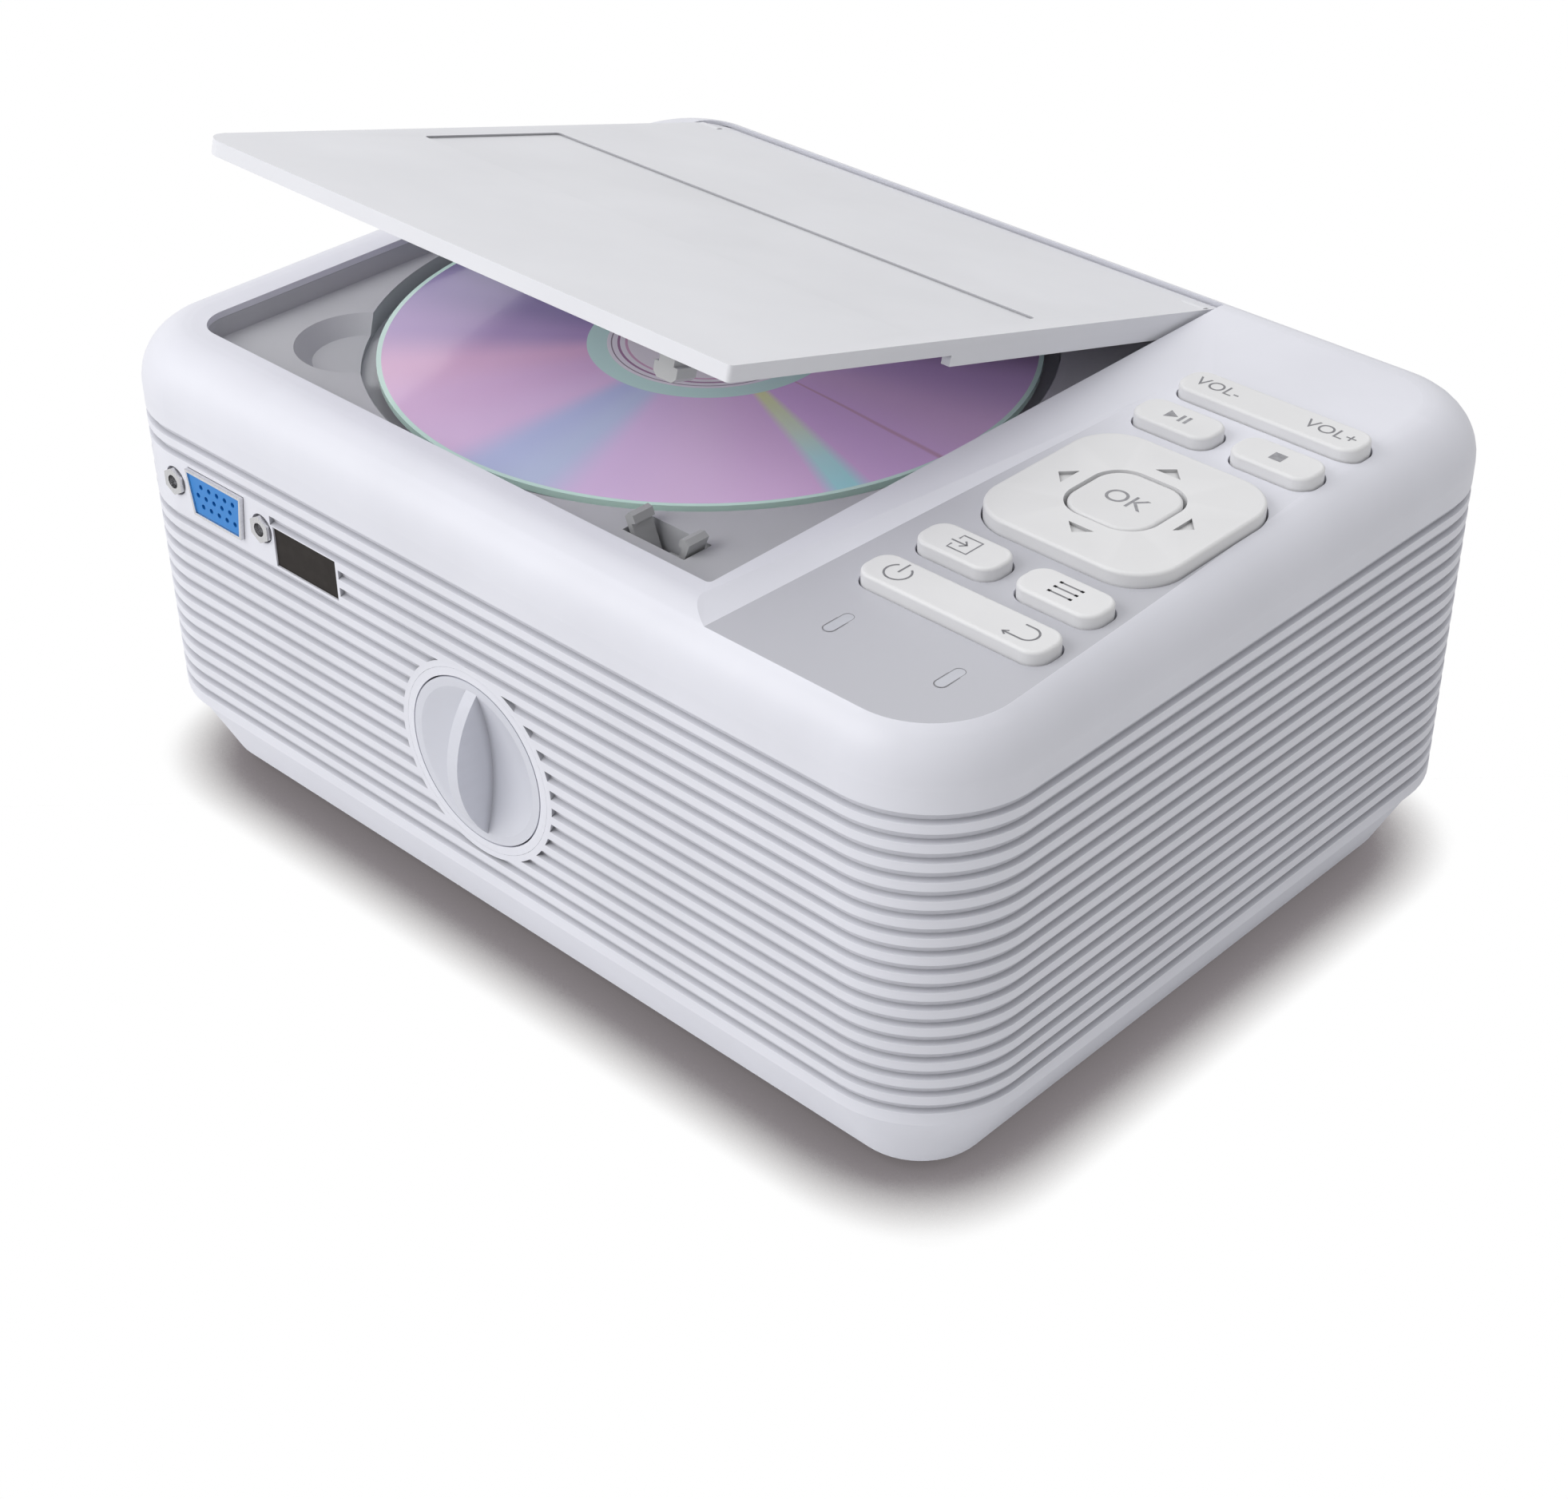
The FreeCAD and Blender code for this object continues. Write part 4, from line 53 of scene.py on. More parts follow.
class Shader:
    """A material's node tree, with one Principled shader."""

    def __init__(self, name, colour, roughness, **inputs):
        self.material = bpy.data.materials.new(name)
        self.material.use_nodes = True
        self.tree = self.material.node_tree
        self.nodes, self.links = self.tree.nodes, self.tree.links
        self.bsdf = next(n for n in self.nodes if n.type == "BSDF_PRINCIPLED")
        self.set("Base Color", (*colour, 1.0))
        self.set("Roughness", roughness)
        for key, value in inputs.items():
            self.set(key.replace("_", " "), value)
        self.place = self.add("ShaderNodeTexCoord").outputs["Object"]

    def set(self, socket, value):
        self.bsdf.inputs[socket].default_value = value

    def add(self, kind, **values):
        node = self.nodes.new(kind)
        for key, value in values.items():
            if hasattr(node, key):
                setattr(node, key, value)
            else:
                node.inputs[key.replace("_", " ")].default_value = value
        return node

    def wire(self, out, into):
        self.links.new(out, into)

    def math(self, operation, *values):
        node = self.add("ShaderNodeMath", operation=operation)
        for socket, value in zip(node.inputs, values):
            if isinstance(value, (int, float)):
                socket.default_value = value
            else:
                self.wire(value, socket)
        return node.outputs[0]

    def noise(self, scale, detail=3.0, stretch=(1, 1, 1)):
        mapping = self.add("ShaderNodeMapping")
        mapping.inputs["Scale"].default_value = stretch
        self.wire(self.place, mapping.inputs["Vector"])
        node = self.add("ShaderNodeTexNoise", Scale=scale, Detail=detail)
        self.wire(mapping.outputs["Vector"], node.inputs["Vector"])
        return node.outputs["Fac"]

    def ramp(self, factor, stops, blend="LINEAR"):
        node = self.add("ShaderNodeValToRGB")
        node.color_ramp.interpolation = blend
        points = node.color_ramp.elements
        while len(points) < len(stops):
            points.new(0.5)
        for point, (position, colour) in zip(points, stops):
            point.position = position
            point.color = (*colour, 1.0)
        self.wire(factor, node.inputs["Fac"])
        return node.outputs["Color"]

    def spread(self, factor, low, high, start=0.0, end=1.0):
        node = self.add("ShaderNodeMapRange")
        for key, value in (("From Min", start), ("From Max", end),
                           ("To Min", low), ("To Max", high)):
            node.inputs[key].default_value = value
        self.wire(factor, node.inputs["Value"])
        return node.outputs["Result"]

    def mix(self, factor, first, second, mode="MIX"):
        node = self.add("ShaderNodeMix", data_type="RGBA", blend_type=mode)
        for socket, value in ((node.inputs[0], factor), (node.inputs[6], first),
                              (node.inputs[7], second)):
            if isinstance(value, (int, float)):
                socket.default_value = value
            elif isinstance(value, tuple):
                socket.default_value = (*value, 1.0)
            else:
                self.wire(value, socket)
        return node.outputs[2]

    def bump(self, *layers):
        """Each layer is (height, distance in metres, strength)."""
        normal = None
        for height, distance, strength in layers:
            node = self.add("ShaderNodeBump", Distance=distance, Strength=strength)
            self.wire(height, node.inputs["Height"])
            if normal:
                self.wire(normal, node.inputs["Normal"])
            normal = node.outputs["Normal"]
        self.wire(normal, self.bsdf.inputs["Normal"])

    def worn_edges(self, amount):
        """1 on sharp outward edges, 0 elsewhere, times amount."""
        pointed = self.add("ShaderNodeNewGeometry").outputs["Pointiness"]
        return self.spread(pointed, 0.0, amount, EDGE_FLAT, EDGE_SHARP)

    def recess(self, distance, amount, closed, open_from):
        """Amount deep in grooves narrower than the distance, 0 on open faces; the mask of painted
        shade.

        Closed and open_from are the shares of open sky at which each is reached.
        """
        node = self.add("ShaderNodeAmbientOcclusion", samples=8, only_local=True,
                        Distance=distance)
        return self.spread(node.outputs["AO"], amount, 0.0, closed, open_from)


def tint(colour, share):
    return tuple(min(1.0, channel * share) for channel in colour)


# ---- materials --------------------------------------------------------------------------
# Noise scales are in features a metre, shares and tints have no unit.
MOTTLE = 0.03                            # lighter and darker by this share
MOTTLE_SCALE = 38.0
GRAIN_SCALE = 2600.0
WEAR, WORN_TINT = 0.35, 1.12
# Painted shade in grooves and at the foot of steps: how far it looks, and the shares of open sky
# where it is full and where it is gone.
GROOVE_SHADE_REACH, GROOVE_SHADE_CLOSED, GROOVE_SHADE_OPEN = 2.2 * MM, 0.30, 0.85
CREASE_SHADE_REACH, CREASE_SHADE_CLOSED, CREASE_SHADE_OPEN = 1.1 * MM, 0.50, 0.97
# Share of the colour left where the painted shade is full.
GROOVE_SHADE = 0.40


def moulded(name, colour, roughness=0.42, grain=0.06, dust_and_shade=0.0, crease_shade=0.0, shade_sunk_panel=False):
    """Injection-moulded plastic: fine spark-eroded grain, faint flow mottle, polished edges.

    Painted shade can darken narrow grooves, the foot of shallow steps and the sunk button panel.
    """
    s = Shader(name, colour, roughness, Specular_IOR_Level=0.42)
    clouds = s.noise(MOTTLE_SCALE, 4.0)
    base = s.ramp(clouds, [(0.3, tint(colour, 1 - MOTTLE)), (0.7, tint(colour, 1 + MOTTLE))])
    base = s.mix(s.worn_edges(WEAR), base, tint(colour, WORN_TINT))
    # Painted shade: grooves and the foot of steps darken towards this colour.
    groove_shade_colour = tint(colour, GROOVE_SHADE)
    if dust_and_shade:
        base = s.mix(s.recess(GROOVE_SHADE_REACH, dust_and_shade, GROOVE_SHADE_CLOSED, GROOVE_SHADE_OPEN), base, groove_shade_colour)
    if crease_shade:
        base = s.mix(s.recess(CREASE_SHADE_REACH, crease_shade, CREASE_SHADE_CLOSED, CREASE_SHADE_OPEN), base, groove_shade_colour)
    # Painted shade: the sunk button panel's upward faces are darkened.
    if shade_sunk_panel:
        base = s.mix(panel_share(s), base, tint(colour, PANEL_SHADE))
    s.wire(base, s.bsdf.inputs["Base Color"])
    fine = s.noise(GRAIN_SCALE, 2.0)
    s.wire(s.spread(s.noise(120.0, 3.0), roughness - 0.05, roughness + 0.07),
           s.bsdf.inputs["Roughness"])
    s.bump((fine, 0.04 * MM, grain), (clouds, 0.2 * MM, 0.05))
    return s.material


PANEL_LEVEL = 0.05 * MM                  # depths under the cover's top: still cover,
PANEL_SUNK = 0.75 * MM                   # all panel,
PANEL_DEEPEST = 1.6 * MM                 # and past the panel
# Share of the colour left on the sunk panel by its painted shade.
PANEL_SHADE = 0.70
PANEL_TILTED, PANEL_FLAT = 0.985, 0.997  # upward share of the normal


def panel_share(s):
    """How far a point lies on the button panel, which is sunk towards the front; the mask of its
    painted shade.
    """
    split = s.add("ShaderNodeSeparateXYZ")
    s.wire(s.place, split.inputs[0])
    facing = s.add("ShaderNodeSeparateXYZ")
    s.wire(s.add("ShaderNodeTexCoord").outputs["Normal"], facing.inputs[0])
    top = corners("top_cover")[1].z
    sunk = s.spread(split.outputs[2], 1.0, 0.0, top - PANEL_SUNK, top - PANEL_LEVEL)
    near_top = s.math("GREATER_THAN", split.outputs[2], top - PANEL_DEEPEST)
    flat = s.spread(facing.outputs[2], 0.0, 1.0, PANEL_TILTED, PANEL_FLAT)
    return s.math("MULTIPLY", s.math("MULTIPLY", sunk, near_top), flat)


def brushed(name, colour, roughness=0.3, stretch=(1, 1, 40)):
    """Rolled or turned metal with fine parallel scratches."""
    s = Shader(name, colour, roughness, Metallic=1.0)
    lines = s.noise(260.0, 5.0, stretch)
    s.wire(s.ramp(lines, [(0.25, tint(colour, 0.86)), (0.75, tint(colour, 1.1))]),
           s.bsdf.inputs["Base Color"])
    s.wire(s.spread(lines, roughness - 0.08, roughness + 0.12), s.bsdf.inputs["Roughness"])
    s.bump((lines, 0.05 * MM, 0.2))
    return s.material


def rubber(name):
    """Matt black rubber with open pores."""
    colour = (0.03, 0.03, 0.032)
    s = Shader(name, colour, 0.8, Specular_IOR_Level=0.3)
    pores = s.noise(1500.0, 4.0)
    s.wire(s.ramp(s.noise(60.0), [(0.3, tint(colour, 0.8)), (0.75, tint(colour, 1.5))]),
           s.bsdf.inputs["Base Color"])
    s.bump((pores, 0.1 * MM, 0.25))
    return s.material


def board(name):
    """Circuit board: solder mask over copper tracks."""
    colour = (0.02, 0.16, 0.06)
    s = Shader(name, colour, 0.35, Coat_Weight=0.3)
    cells = s.add("ShaderNodeTexVoronoi", Scale=160.0, distance="MANHATTAN", feature="F1")
    s.wire(s.place, cells.inputs["Vector"])
    rings = s.math("FRACT", s.math("MULTIPLY", cells.outputs[0], 6.0))
    tracks = s.math("GREATER_THAN", rings, 0.6)
    s.wire(s.mix(tracks, colour, tint(colour, 1.7)), s.bsdf.inputs["Base Color"])
    s.bump((tracks, 0.04 * MM, 0.4))
    return s.material


def glass(name, colour):
    """Coated optical glass, faintly smeared."""
    roughness = 0.03
    s = Shader(name, colour, roughness, Transmission_Weight=0.9, IOR=1.5)
    smears = s.noise(70.0, 3.0)
    s.wire(s.spread(smears, roughness, roughness + 0.05), s.bsdf.inputs["Roughness"])
    s.bump((smears, 0.02 * MM, 0.04))
    return s.material


def dark_window(name):
    """Polished infrared filter, nearly black with a brown cast."""
    colour = (0.022, 0.018, 0.016)
    s = Shader(name, colour, 0.5, Specular_IOR_Level=0.12)
    dust_and_shade = s.noise(500.0, 5.0)
    s.wire(s.ramp(dust_and_shade, [(0.4, colour), (0.8, (0.034, 0.029, 0.027))]),
           s.bsdf.inputs["Base Color"])
    s.wire(s.spread(dust_and_shade, 0.42, 0.6), s.bsdf.inputs["Roughness"])
    return s.material


def printed(name, colour):
    """Pad-printed legend or a fine moulding line."""
    s = Shader(name, colour, 0.6)
    ink = s.noise(900.0, 3.0)
    s.wire(s.ramp(ink, [(0.3, tint(colour, 0.8)), (0.7, tint(colour, 1.25))]),
           s.bsdf.inputs["Base Color"])
    s.bump((ink, 0.02 * MM, 0.2))
    return s.material


# The disc's bands and rings are radii in mm, its sectors degrees about the hub, which run from
# -X through -Y to +X.
DISC_DATA_FROM = 22.4
DISC_DATA_TO = 59.1
DISC_RIM = (0.74, 1.0, 0.90)
DISC_HUB_RINGS = [
    (0.0, (1.0, 0.97, 0.98)), (14.9, (0.80, 0.50, 0.66)), (15.3, (1.0, 0.97, 0.99)),
    (16.3, (0.46, 0.26, 0.40)), (16.7, (0.98, 0.95, 0.98)), (17.6, (0.34, 0.28, 0.32)),
    (17.9, (1.0, 0.98, 1.0)), (18.6, (0.70, 1.0, 0.90))]
# Painted reflection and shade: the bright sectors stand for light the data band reflects, the
# dark ones for the lid's shade and dark reflections.
DISC_REFLECTION_AND_SHADE = [
    (-180.0, (0.12, 0.14, 0.24)), (-160.0, (0.40, 0.32, 0.60)), (-142.0, (0.58, 0.42, 0.74)),
    (-126.0, (0.95, 0.60, 0.86)), (-112.0, (0.92, 0.62, 0.92)), (-96.0, (0.94, 0.68, 0.98)),
    (-86.0, (0.62, 0.70, 1.00)), (-76.0, (0.66, 0.76, 1.00)), (-66.0, (0.92, 0.68, 1.00)),
    (-50.0, (0.96, 0.70, 1.00)), (-32.0, (0.96, 0.66, 1.00)), (-12.0, (0.90, 0.60, 1.00)),
    (8.0, (0.95, 0.66, 1.00)), (26.0, (0.80, 0.56, 0.95)), (46.0, (0.14, 0.10, 0.20)),
    (70.0, (0.20, 0.16, 0.30)), (120.0, (0.36, 0.30, 0.50)), (180.0, (0.10, 0.12, 0.20))]
SECTOR_BEND = 0.012                      # of a turn, so that the sectors' edges aren't ruled
# Painted highlight: a bright streak across the data band.
HIGHLIGHT_ANGLE = -22.6
HIGHLIGHT_CORE, HIGHLIGHT_EDGE = 0.0045, 0.0125
HIGHLIGHT_COLOURS = [                       # shares of the disc's radius
    (0.36, (0.95, 1.0, 0.50)), (0.62, (0.84, 1.0, 0.80)), (0.80, (0.62, 1.0, 1.0)),
    (0.96, (0.50, 0.96, 1.0))]
# Painted reflection: a thin pink line across the data band.
REFLECTED_LINE_ANGLE = -4.2
REFLECTED_LINE_CORE, REFLECTED_LINE_EDGE = 0.0006, 0.0022
REFLECTED_LINE_COLOUR = (0.72, 0.42, 0.58)
TRACK_RATE = 26000.0                     # radians a metre along the radius


def turn_share(angle):
    """Share of the sweep from -X round to -X at an angle about the hub, in degrees."""
    return (angle + 180.0) / 360.0


def disc_surface(name):
    """Pressed disc: clear hub with moulded rings, mirror band whose diffraction sectors, streak
    and line are painted reflection and shade, pale rim.
    """
    low, high = corners("disc")
    disc_r = (high.x - low.x) / 2
    s = Shader(name, (0.5, 0.4, 0.6), 0.16, Coat_Weight=0.4, Coat_Roughness=0.05)
    offset = s.add("ShaderNodeVectorMath", operation="SUBTRACT")
    s.wire(s.place, offset.inputs[0])
    offset.inputs[1].default_value = (low + high) / 2
    split = s.add("ShaderNodeSeparateXYZ")
    s.wire(offset.outputs[0], split.inputs[0])
    x, y = split.outputs[0], split.outputs[1]
    radius = s.math("SQRT", s.math("ADD", s.math("MULTIPLY", x, x), s.math("MULTIPLY", y, y)))
    share = s.math("DIVIDE", radius, disc_r)
    turn = s.math("DIVIDE", s.math("ARCTAN2", y, x), 2 * math.pi)
    turn = s.math("ADD", turn, 0.5)
    bend = s.math("MULTIPLY", s.math("SUBTRACT", s.noise(14.0, 2.0), 0.5), SECTOR_BEND)
    turn = s.math("ADD", turn, bend)
    # Painted reflection and shade in sectors, then a painted highlight streak and a reflected
    # line over them.
    sectors = s.ramp(turn, [(turn_share(angle), colour) for angle, colour in DISC_REFLECTION_AND_SHADE],
                     "EASE")
    aside = s.math("ABSOLUTE", s.math("SUBTRACT", turn, turn_share(HIGHLIGHT_ANGLE)))
    highlight = s.spread(aside, 1.0, 0.0, HIGHLIGHT_CORE, HIGHLIGHT_EDGE)
    data = s.mix(highlight, sectors, s.ramp(share, HIGHLIGHT_COLOURS))
    aside = s.math("ABSOLUTE", s.math("SUBTRACT", turn, turn_share(REFLECTED_LINE_ANGLE)))
    data = s.mix(s.spread(aside, 0.75, 0.0, REFLECTED_LINE_CORE, REFLECTED_LINE_EDGE), data, REFLECTED_LINE_COLOUR)
    hub = s.ramp(share, [(r * MM / disc_r, colour) for r, colour in DISC_HUB_RINGS], "CONSTANT")
    past_hub = s.math("GREATER_THAN", share, DISC_DATA_FROM * MM / disc_r)
    past_data = s.math("GREATER_THAN", share, DISC_DATA_TO * MM / disc_r)
    colour = s.mix(past_data, s.mix(past_hub, hub, data), DISC_RIM)
    s.wire(colour, s.bsdf.inputs["Base Color"])
    is_data = s.math("SUBTRACT", past_hub, past_data)
    s.wire(s.math("MULTIPLY", is_data, 0.05), s.bsdf.inputs["Metallic"])
    s.wire(s.spread(s.noise(30.0), 0.14, 0.24), s.bsdf.inputs["Roughness"])
    tracks = s.math("SINE", s.math("MULTIPLY", radius, TRACK_RATE))
    s.bump((s.math("MULTIPLY", tracks, is_data), 0.004 * MM, 0.3))
    return s.material


# ---- finishes on the CAD nodes ----------------------------------------------------------
WHITE = (0.775, 0.78, 0.845)
GREY = (0.53, 0.535, 0.56)


def dress_nodes():
    # Several of these finishes carry painted shade in grooves, at the foot of steps and on the
    # sunk button panel.
    white = moulded("case_white", WHITE, 0.40, grain=0.08, dust_and_shade=1.0)
    panel_white = moulded("cover_white", WHITE, 0.40, grain=0.08, dust_and_shade=1.0, shade_sunk_panel=True)
    white_smooth = moulded("lid_white", (0.775, 0.78, 0.82), 0.34, grain=0.05, crease_shade=1.0)
    cap_white = moulded("cap_white", (0.66, 0.67, 0.735), 0.34, grain=0.04, dust_and_shade=0.5)
    keys = moulded("key_white", (0.79, 0.79, 0.80), 0.38, grain=0.05, dust_and_shade=0.8)
    grey = moulded("deck_grey", GREY, 0.46, grain=0.10)
    latch = moulded("latch_grey", (0.44, 0.445, 0.45), 0.42, grain=0.06)
    mechanism = moulded("mechanism_grey", (0.20, 0.205, 0.215), 0.5)
    black = moulded("black_plastic", (0.035, 0.035, 0.038), 0.45, grain=0.1)
    steel = brushed("brushed_steel", (0.62, 0.62, 0.63))
    turned = brushed("turned_steel", (0.66, 0.66, 0.67), 0.25, (40, 40, 1))
    tin = brushed("plated_shell", (0.70, 0.70, 0.72), 0.22, (30, 1, 1))
    finishes = {
        white: ("base_cover", "lens_bezel"),
        panel_white: ("top_cover",),
        white_smooth: ("disc_lid",),
        cap_white: ("lens_cap",),
        keys: ("volume_rocker", "play_button", "stop_button", "direction_pad", "ok_button",
               "source_button", "menu_button", "power_rocker"),
        grey: ("disc_deck",),
        latch: ("lid_striker", "latch_plunger", "latch_jaw_left", "latch_jaw_right"),
        mechanism: ("pickup_sled", "engine_housing", "key_frame", "pad_pivot"),
        black: ("spindle_hub", "focus_ring", "lens_barrel", "fan_frame", "fan_rotor",
                "rear_ports", "power_inlet", "board_parts", "key_switches", "speakers"),
        steel: ("spindle_motor", "drive_chassis", "latch_spring", "sled_motor", "small_screws",
                "case_screws"),
        turned: ("hinge_pins", "guide_rods", "sled_screw", "vga_jack_screws"),
        tin: ("vga_shell",),
        brushed("sink_aluminium", (0.72, 0.73, 0.75), 0.35): ("heat_sink",),
        rubber("black_rubber"): ("rubber_feet", "drive_dampers", "cap_seal_ring"),
        disc_surface("pressed_disc"): ("disc",),
        glass("coated_glass", (0.80, 0.86, 0.92)): ("lens_elements", "field_lenses",
                                                    "pickup_lens", "lcd_panel"),
        moulded("socket_blue", (0.020, 0.22, 0.62), 0.38): ("vga_insert",),
        dark_window("infrared_filter"): ("infrared_window",),
        board("solder_mask"): ("main_board", "power_board", "port_board", "key_board",
                               "lamp_board"),
        moulded("light_pipe", (0.56, 0.57, 0.62), 0.25): ("light_pipes",),
    }
    for finish, names in finishes.items():
        for name in names:
            slots = NODES[name].data.materials
            slots.clear()
            slots.append(finish)


# ---- legends ----------------------------------------------------------------------------
LEGEND_LIFT = 0.02 * MM
STROKE = 0.36 * MM
LIGHT_TOP = 0.6 * MM                     # depth of a light pipe's end under its highest point
RIM_HALF, RIM_R = 3.05, 1.05             # mm, round a light: half its length, and end radius
RIM_STROKE = 0.20 * MM


def key_top(node):
    low, high = corners(node)
    return Vector(((low.x + high.x) / 2, (low.y + high.y) / 2, high.z))


def flat_piece(name, outlines, material, lift=LEGEND_LIFT):
    """Printed flat shapes; each outline is a list of (x, y) in metres."""
    mesh = bmesh.new()
    for points in outlines:
        mesh.faces.new([mesh.verts.new((x, y, lift)) for x, y in points])
    data = bpy.data.meshes.new(name)
    mesh.to_mesh(data)
    mesh.free()
    piece = bpy.data.objects.new(name, data)
    bpy.context.collection.objects.link(piece)
    data.materials.append(material)
    return piece


def stroke(points, closed=False, width=STROKE):
    """The four-cornered outlines that draw a line of this width along the points, in mm."""
    points = [Vector(point) * MM for point in points]
    count = len(points)
    rows = []
    for i in range(count):
        before = points[i - 1] if closed or i else points[i]
        after = points[(i + 1) % count] if closed or i < count - 1 else points[i]
        along = (after - before).normalized()
        side = Vector((-along.y, along.x)) * width / 2
        rows.append((points[i] - side, points[i] + side))
    ends = range(count if closed else count - 1)
    return [[*rows[i], *reversed(rows[(i + 1) % count])] for i in ends]


def arc(x, y, r, start, end, steps=20):
    """Points round an arc, with its angles in degrees."""
    angles = [math.radians(start + (end - start) * i / steps) for i in range(steps + 1)]
    return [(x + r * math.cos(a), y + r * math.sin(a)) for a in angles]


def on_key(piece, node, dx=0.0):
    """Sets a legend on a key's top, dx mm to the right of its middle."""
    piece.location = key_top(node) + Vector((dx, 0.0, 0.0)) * MM
    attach(piece, node)


def filled(*outlines):
    """Outlines given in mm, in metres."""
    return [[(x * MM, y * MM) for x, y in outline] for outline in outlines]


VOLUME_LEGENDS, VOLUME_SIZE = 11.3, 4.0  # mm from the bar's middle, and letter height
POWER_LEGENDS = 12.3
OK_SIZE = 5.4


def legends():
    """Symbols and words on the keys, and the rims of the two lights; sizes in mm."""
    ink = printed("legend_ink", (0.22, 0.22, 0.235))
    pale = printed("legend_grey", (0.30, 0.30, 0.32))
    power = stroke(arc(0, 0, 2.2, 125, 415)) + stroke([(0, 0.0), (0, 2.9)])
    on_key(flat_piece("legend_power", power, ink), "power_rocker", -POWER_LEGENDS)
    hook = stroke([(-1.0, 1.8), (0.8, 1.8)] + arc(0.8, 0.0, 1.8, 80, -90) + [(-2.4, -1.8)])
    hook += stroke([(-1.7, -1.2), (-2.6, -1.8), (-1.7, -2.4)])
    on_key(flat_piece("legend_return", hook, ink), "power_rocker", POWER_LEGENDS)
    bars = []
    for y in (-1.5, 0.0, 1.5):
        bars += stroke([(-2.3, y), (2.3, y)])
        for x in (-2.0, 2.0):
            bars += stroke([(x - 0.3, y), (x + 0.3, y)], width=1.6 * STROKE)
    on_key(flat_piece("legend_menu", bars, ink), "menu_button")
    tray = stroke([(-1.9, 0.9), (-1.9, 2.1), (1.9, 2.1), (1.9, -2.1), (-1.9, -2.1), (-1.9, -0.9)])
    arrow = stroke([(-2.7, 0.0), (0.3, 0.0)]) + stroke([(-0.5, 0.9), (0.4, 0.0), (-0.5, -0.9)])
    on_key(flat_piece("legend_source", tray + arrow, ink), "source_button")
    play = filled([(-2.4, 1.3), (-2.4, -1.3), (-0.2, 0.0)],
                  [(0.2, 1.2), (0.2, -1.2), (0.8, -1.2), (0.8, 1.2)],
                  [(1.4, 1.2), (1.4, -1.2), (2.0, -1.2), (2.0, 1.2)])
    on_key(flat_piece("legend_play", play, pale), "play_button")
    square = filled([(-1.2, -1.2), (1.2, -1.2), (1.2, 1.2), (-1.2, 1.2)])
    on_key(flat_piece("legend_stop", square, pale), "stop_button")
    on_key(lettering("legend_volume_down", "VOL-", VOLUME_SIZE, ink), "volume_rocker",
           -VOLUME_LEGENDS)
    on_key(lettering("legend_volume_up", "VOL+", VOLUME_SIZE, ink), "volume_rocker",
           VOLUME_LEGENDS)
    on_key(lettering("legend_ok", "OK", OK_SIZE, pale), "ok_button")
    for index, (low, high) in enumerate(light_spots()):
        outline = pill_line((low.x + high.x) / 2 / MM, (low.y + high.y) / 2 / MM)
        rim = flat_piece(f"light_rim_{index}", outline, ink, high.z + LEGEND_LIFT)
        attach(rim, "case")


def light_spots():
    """Boxes of the separate light pipes, from the joined node's corners."""
    mesh = NODES["light_pipes"].data
    low, high = corners("light_pipes")
    middle = (low.x + high.x) / 2
    for side in (-1, 1):
        top = [v.co for v in mesh.vertices if v.co.z > high.z - LIGHT_TOP
               and (v.co.x - middle) * side > 0]
        yield (Vector(min(c[i] for c in top) for i in range(3)),
               Vector(max(c[i] for c in top) for i in range(3)))


def pill_line(x, y):
    """Thin moulding line round a light at (x, y), in mm."""
    reach = RIM_HALF - RIM_R
    ends = arc(x, y + reach, RIM_R, 0, 180, 12) + arc(x, y - reach, RIM_R, 180, 360, 12)
    return stroke(ends, True, RIM_STROKE)


def lettering(name, text, size, material):
    """Words in Blender's own font, as a mesh; size in mm."""
    curve = bpy.data.curves.new(name, "FONT")
    curve.body = text
    curve.size = size * MM
    curve.align_x, curve.align_y = "CENTER", "CENTER"
    letters = bpy.data.objects.new(name, curve)
    bpy.context.collection.objects.link(letters)
    bpy.context.view_layer.update()
    mesh = bpy.data.meshes.new_from_object(letters)
    bpy.data.objects.remove(letters)
    mesh.transform(Matrix.Translation((0, 0, LEGEND_LIFT)))
    piece = bpy.data.objects.new(name, mesh)
    bpy.context.collection.objects.link(piece)
    mesh.materials.clear()
    mesh.materials.append(material)
    return piece


# ---- stage ------------------------------------------------------------------------------
FLOOR_HALF = 6.0
# Painted contact shadow on the floor: how far it reaches, and its colours.
CONTACT_REACH = 16 * MM
PAINTED_CONTACT_SHADOW = [                       # share of open sky, and what the camera sees there
    (0.0, (0.10, 0.09, 0.09)), (0.50, (0.24, 0.22, 0.23)), (0.76, (0.70, 0.69, 0.69)),
    (0.94, (1.0, 1.0, 1.0))]


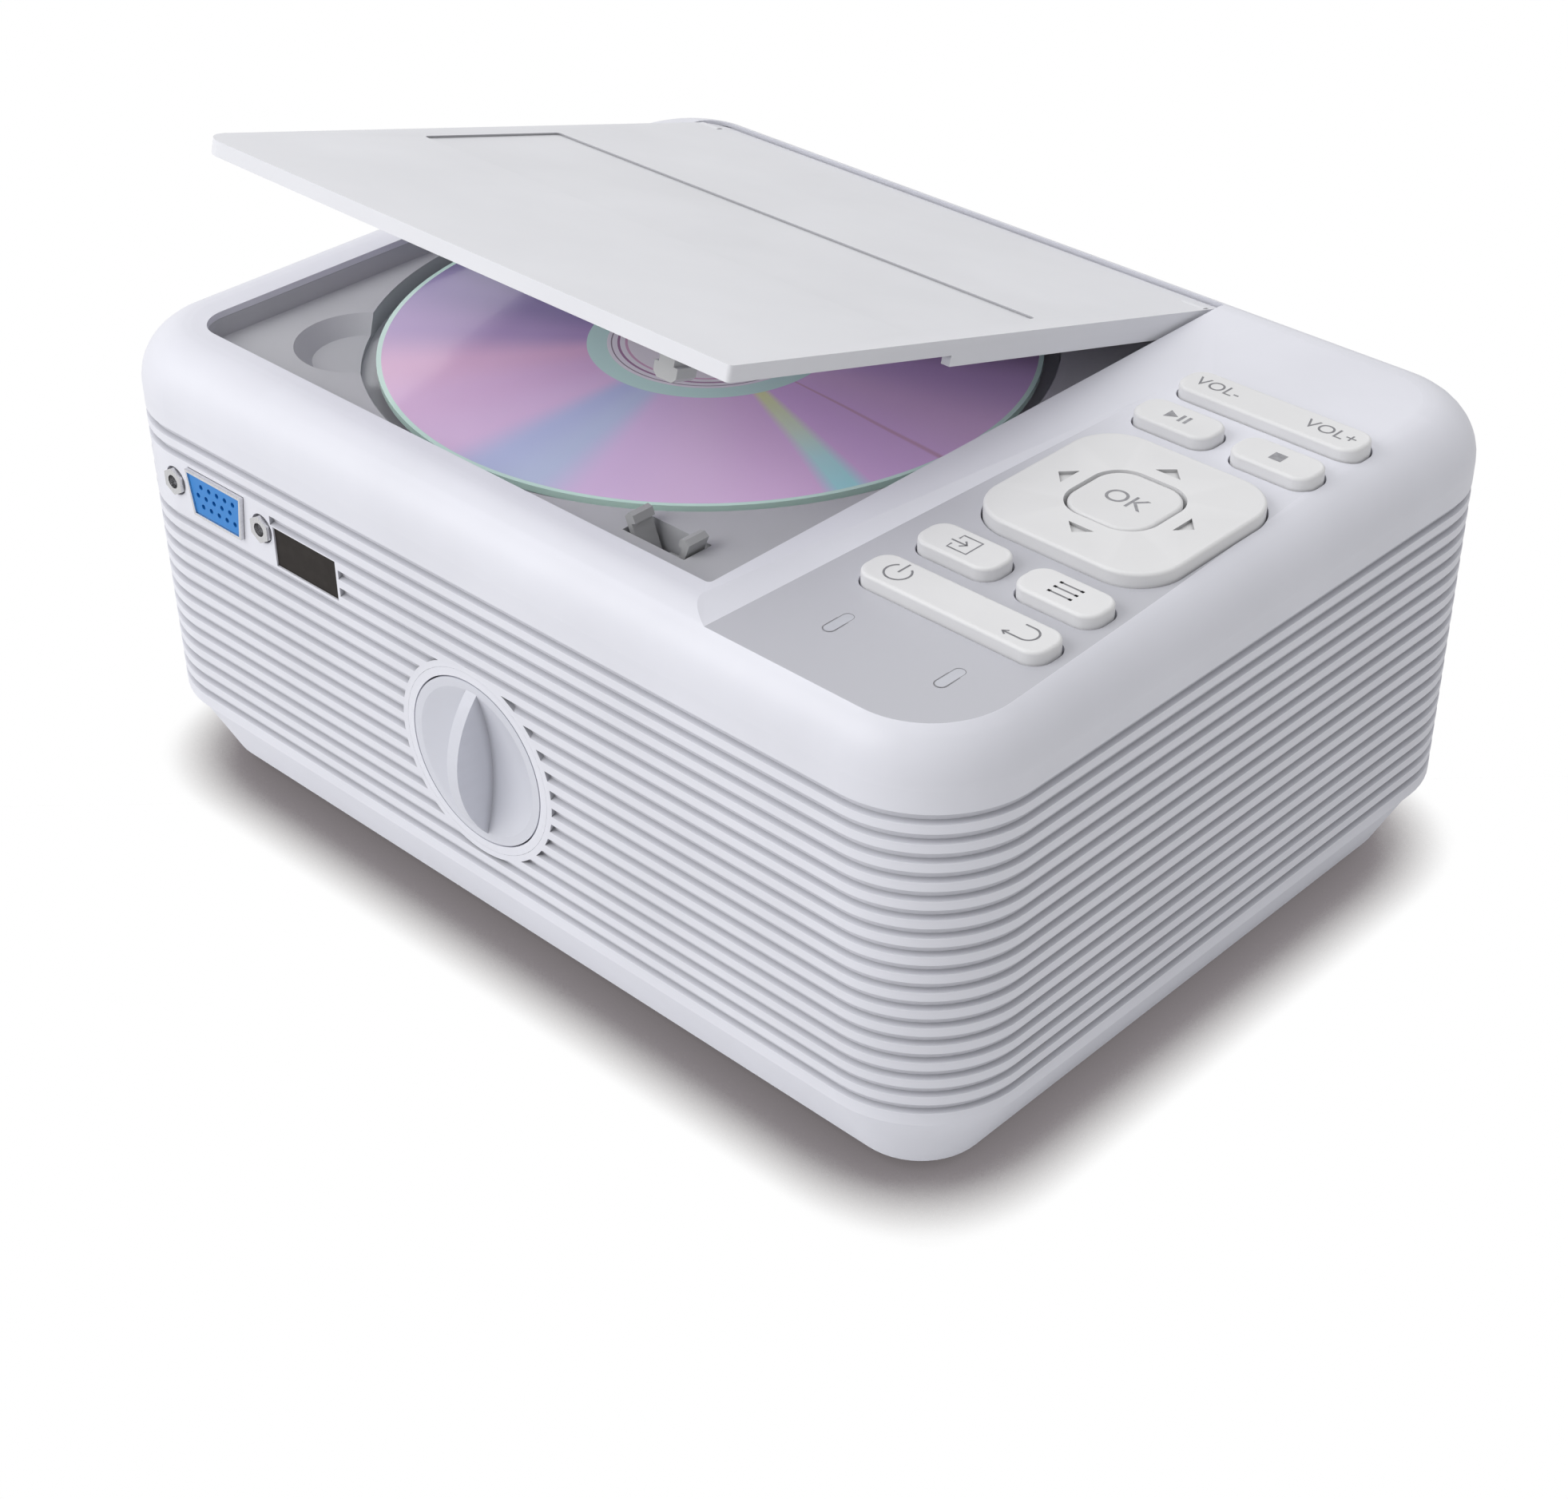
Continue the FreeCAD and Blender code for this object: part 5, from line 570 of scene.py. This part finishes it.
def floor():
    """Matt white table; the camera sees it white, with a painted contact shadow close to what
    stands on it.
    """
    mesh = bpy.data.meshes.new("floor")
    edge = [(-1, -1), (1, -1), (1, 1), (-1, 1)]
    mesh.from_pydata([(x * FLOOR_HALF, y * FLOOR_HALF, 0) for x, y in edge], [], [(0, 1, 2, 3)])
    ground = bpy.data.objects.new("floor", mesh)
    bpy.context.collection.objects.link(ground)
    s = Shader("floor_white", (0.90, 0.90, 0.90), 0.9, Specular_IOR_Level=0.0)
    s.wire(s.ramp(s.noise(300.0, 4.0), [(0.3, (0.89, 0.89, 0.89)), (0.7, (0.91, 0.91, 0.91))]),
           s.bsdf.inputs["Base Color"])
    near = s.add("ShaderNodeAmbientOcclusion", samples=16, Distance=CONTACT_REACH)
    seen = s.add("ShaderNodeEmission")
    s.wire(s.ramp(near.outputs["AO"], PAINTED_CONTACT_SHADOW), seen.inputs["Color"])
    pick = s.add("ShaderNodeMixShader")
    s.wire(s.add("ShaderNodeLightPath").outputs["Is Camera Ray"], pick.inputs[0])
    s.wire(s.bsdf.outputs[0], pick.inputs[1])
    s.wire(seen.outputs[0], pick.inputs[2])
    output = next(n for n in s.nodes if n.type == "OUTPUT_MATERIAL")
    s.wire(pick.outputs[0], output.inputs["Surface"])
    mesh.materials.append(s.material)


AIM = Vector((0, 0, 0.05))               # what both lamps face
ROOM_LEVEL = 0.46


def area_light(name, position, size, watts):
    """White lamp panel that faces the object; places and sizes in metres."""
    lamp = bpy.data.lights.new(name, "AREA")
    lamp.shape = "RECTANGLE"
    lamp.size, lamp.size_y = size
    lamp.energy = watts
    holder = bpy.data.objects.new(name, lamp)
    bpy.context.collection.objects.link(holder)
    holder.location = position
    aim = AIM - Vector(position)
    holder.rotation_euler = aim.to_track_quat("-Z", "Y").to_euler()


def world_light():
    """Even soft light; the camera, mirrored rays and rays through glass see it plain white."""
    world = bpy.data.worlds.new("studio")
    bpy.context.scene.world = world
    world.use_nodes = True
    nodes, links = world.node_tree.nodes, world.node_tree.links
    back = nodes["Background"]
    back.inputs["Color"].default_value = (1.0, 1.0, 1.0, 1.0)
    path = nodes.new("ShaderNodeLightPath")
    seen = nodes.new("ShaderNodeMath")
    seen.operation = "MAXIMUM"
    links.new(path.outputs["Is Camera Ray"], seen.inputs[0])
    links.new(path.outputs["Is Transmission Ray"], seen.inputs[1])
    mirrored = nodes.new("ShaderNodeMath")
    mirrored.operation = "MAXIMUM"
    links.new(seen.outputs[0], mirrored.inputs[0])
    links.new(path.outputs["Is Glossy Ray"], mirrored.inputs[1])
    level = nodes.new("ShaderNodeMapRange")
    level.inputs["To Min"].default_value = ROOM_LEVEL
    level.inputs["To Max"].default_value = 1.0
    links.new(mirrored.outputs[0], level.inputs["Value"])
    links.new(level.outputs["Result"], back.inputs["Strength"])


# The camera as fitted to the photograph, in metres and degrees; lens and sensor in mm.
CAMERA_AT = Vector((0.29728, -0.30929, 0.30969))
CAMERA_AZIMUTH = math.radians(43.8245)
CAMERA_DOWN = math.radians(34.9517)
CAMERA_ROLL = math.radians(-0.4353)
LENS_LENGTH, SENSOR_WIDTH = 63.07, 36.0
NEAREST_SEEN = 0.01


def camera():
    lens = bpy.data.cameras.new("camera")
    lens.sensor_width = SENSOR_WIDTH
    lens.lens = LENS_LENGTH
    lens.clip_start = NEAREST_SEEN
    holder = bpy.data.objects.new("camera", lens)
    bpy.context.collection.objects.link(holder)
    turn = Matrix.Rotation(CAMERA_AZIMUTH, 4, "Z")
    tilt = Matrix.Rotation(math.pi / 2 - CAMERA_DOWN, 4, "X")
    roll = Matrix.Rotation(CAMERA_ROLL, 4, "Z")
    holder.matrix_world = Matrix.Translation(CAMERA_AT) @ turn @ tilt @ roll
    bpy.context.scene.camera = holder


camera()
floor()
world_light()
area_light("key_front", (-0.58, -1.05, 0.92), (1.2, 0.9), 10.0)
area_light("top_soft", (-0.2, 0.1, 1.5), (1.4, 1.4), 6.5)
bpy.context.scene.view_settings.view_transform = "Standard"
dress_nodes()
legends()
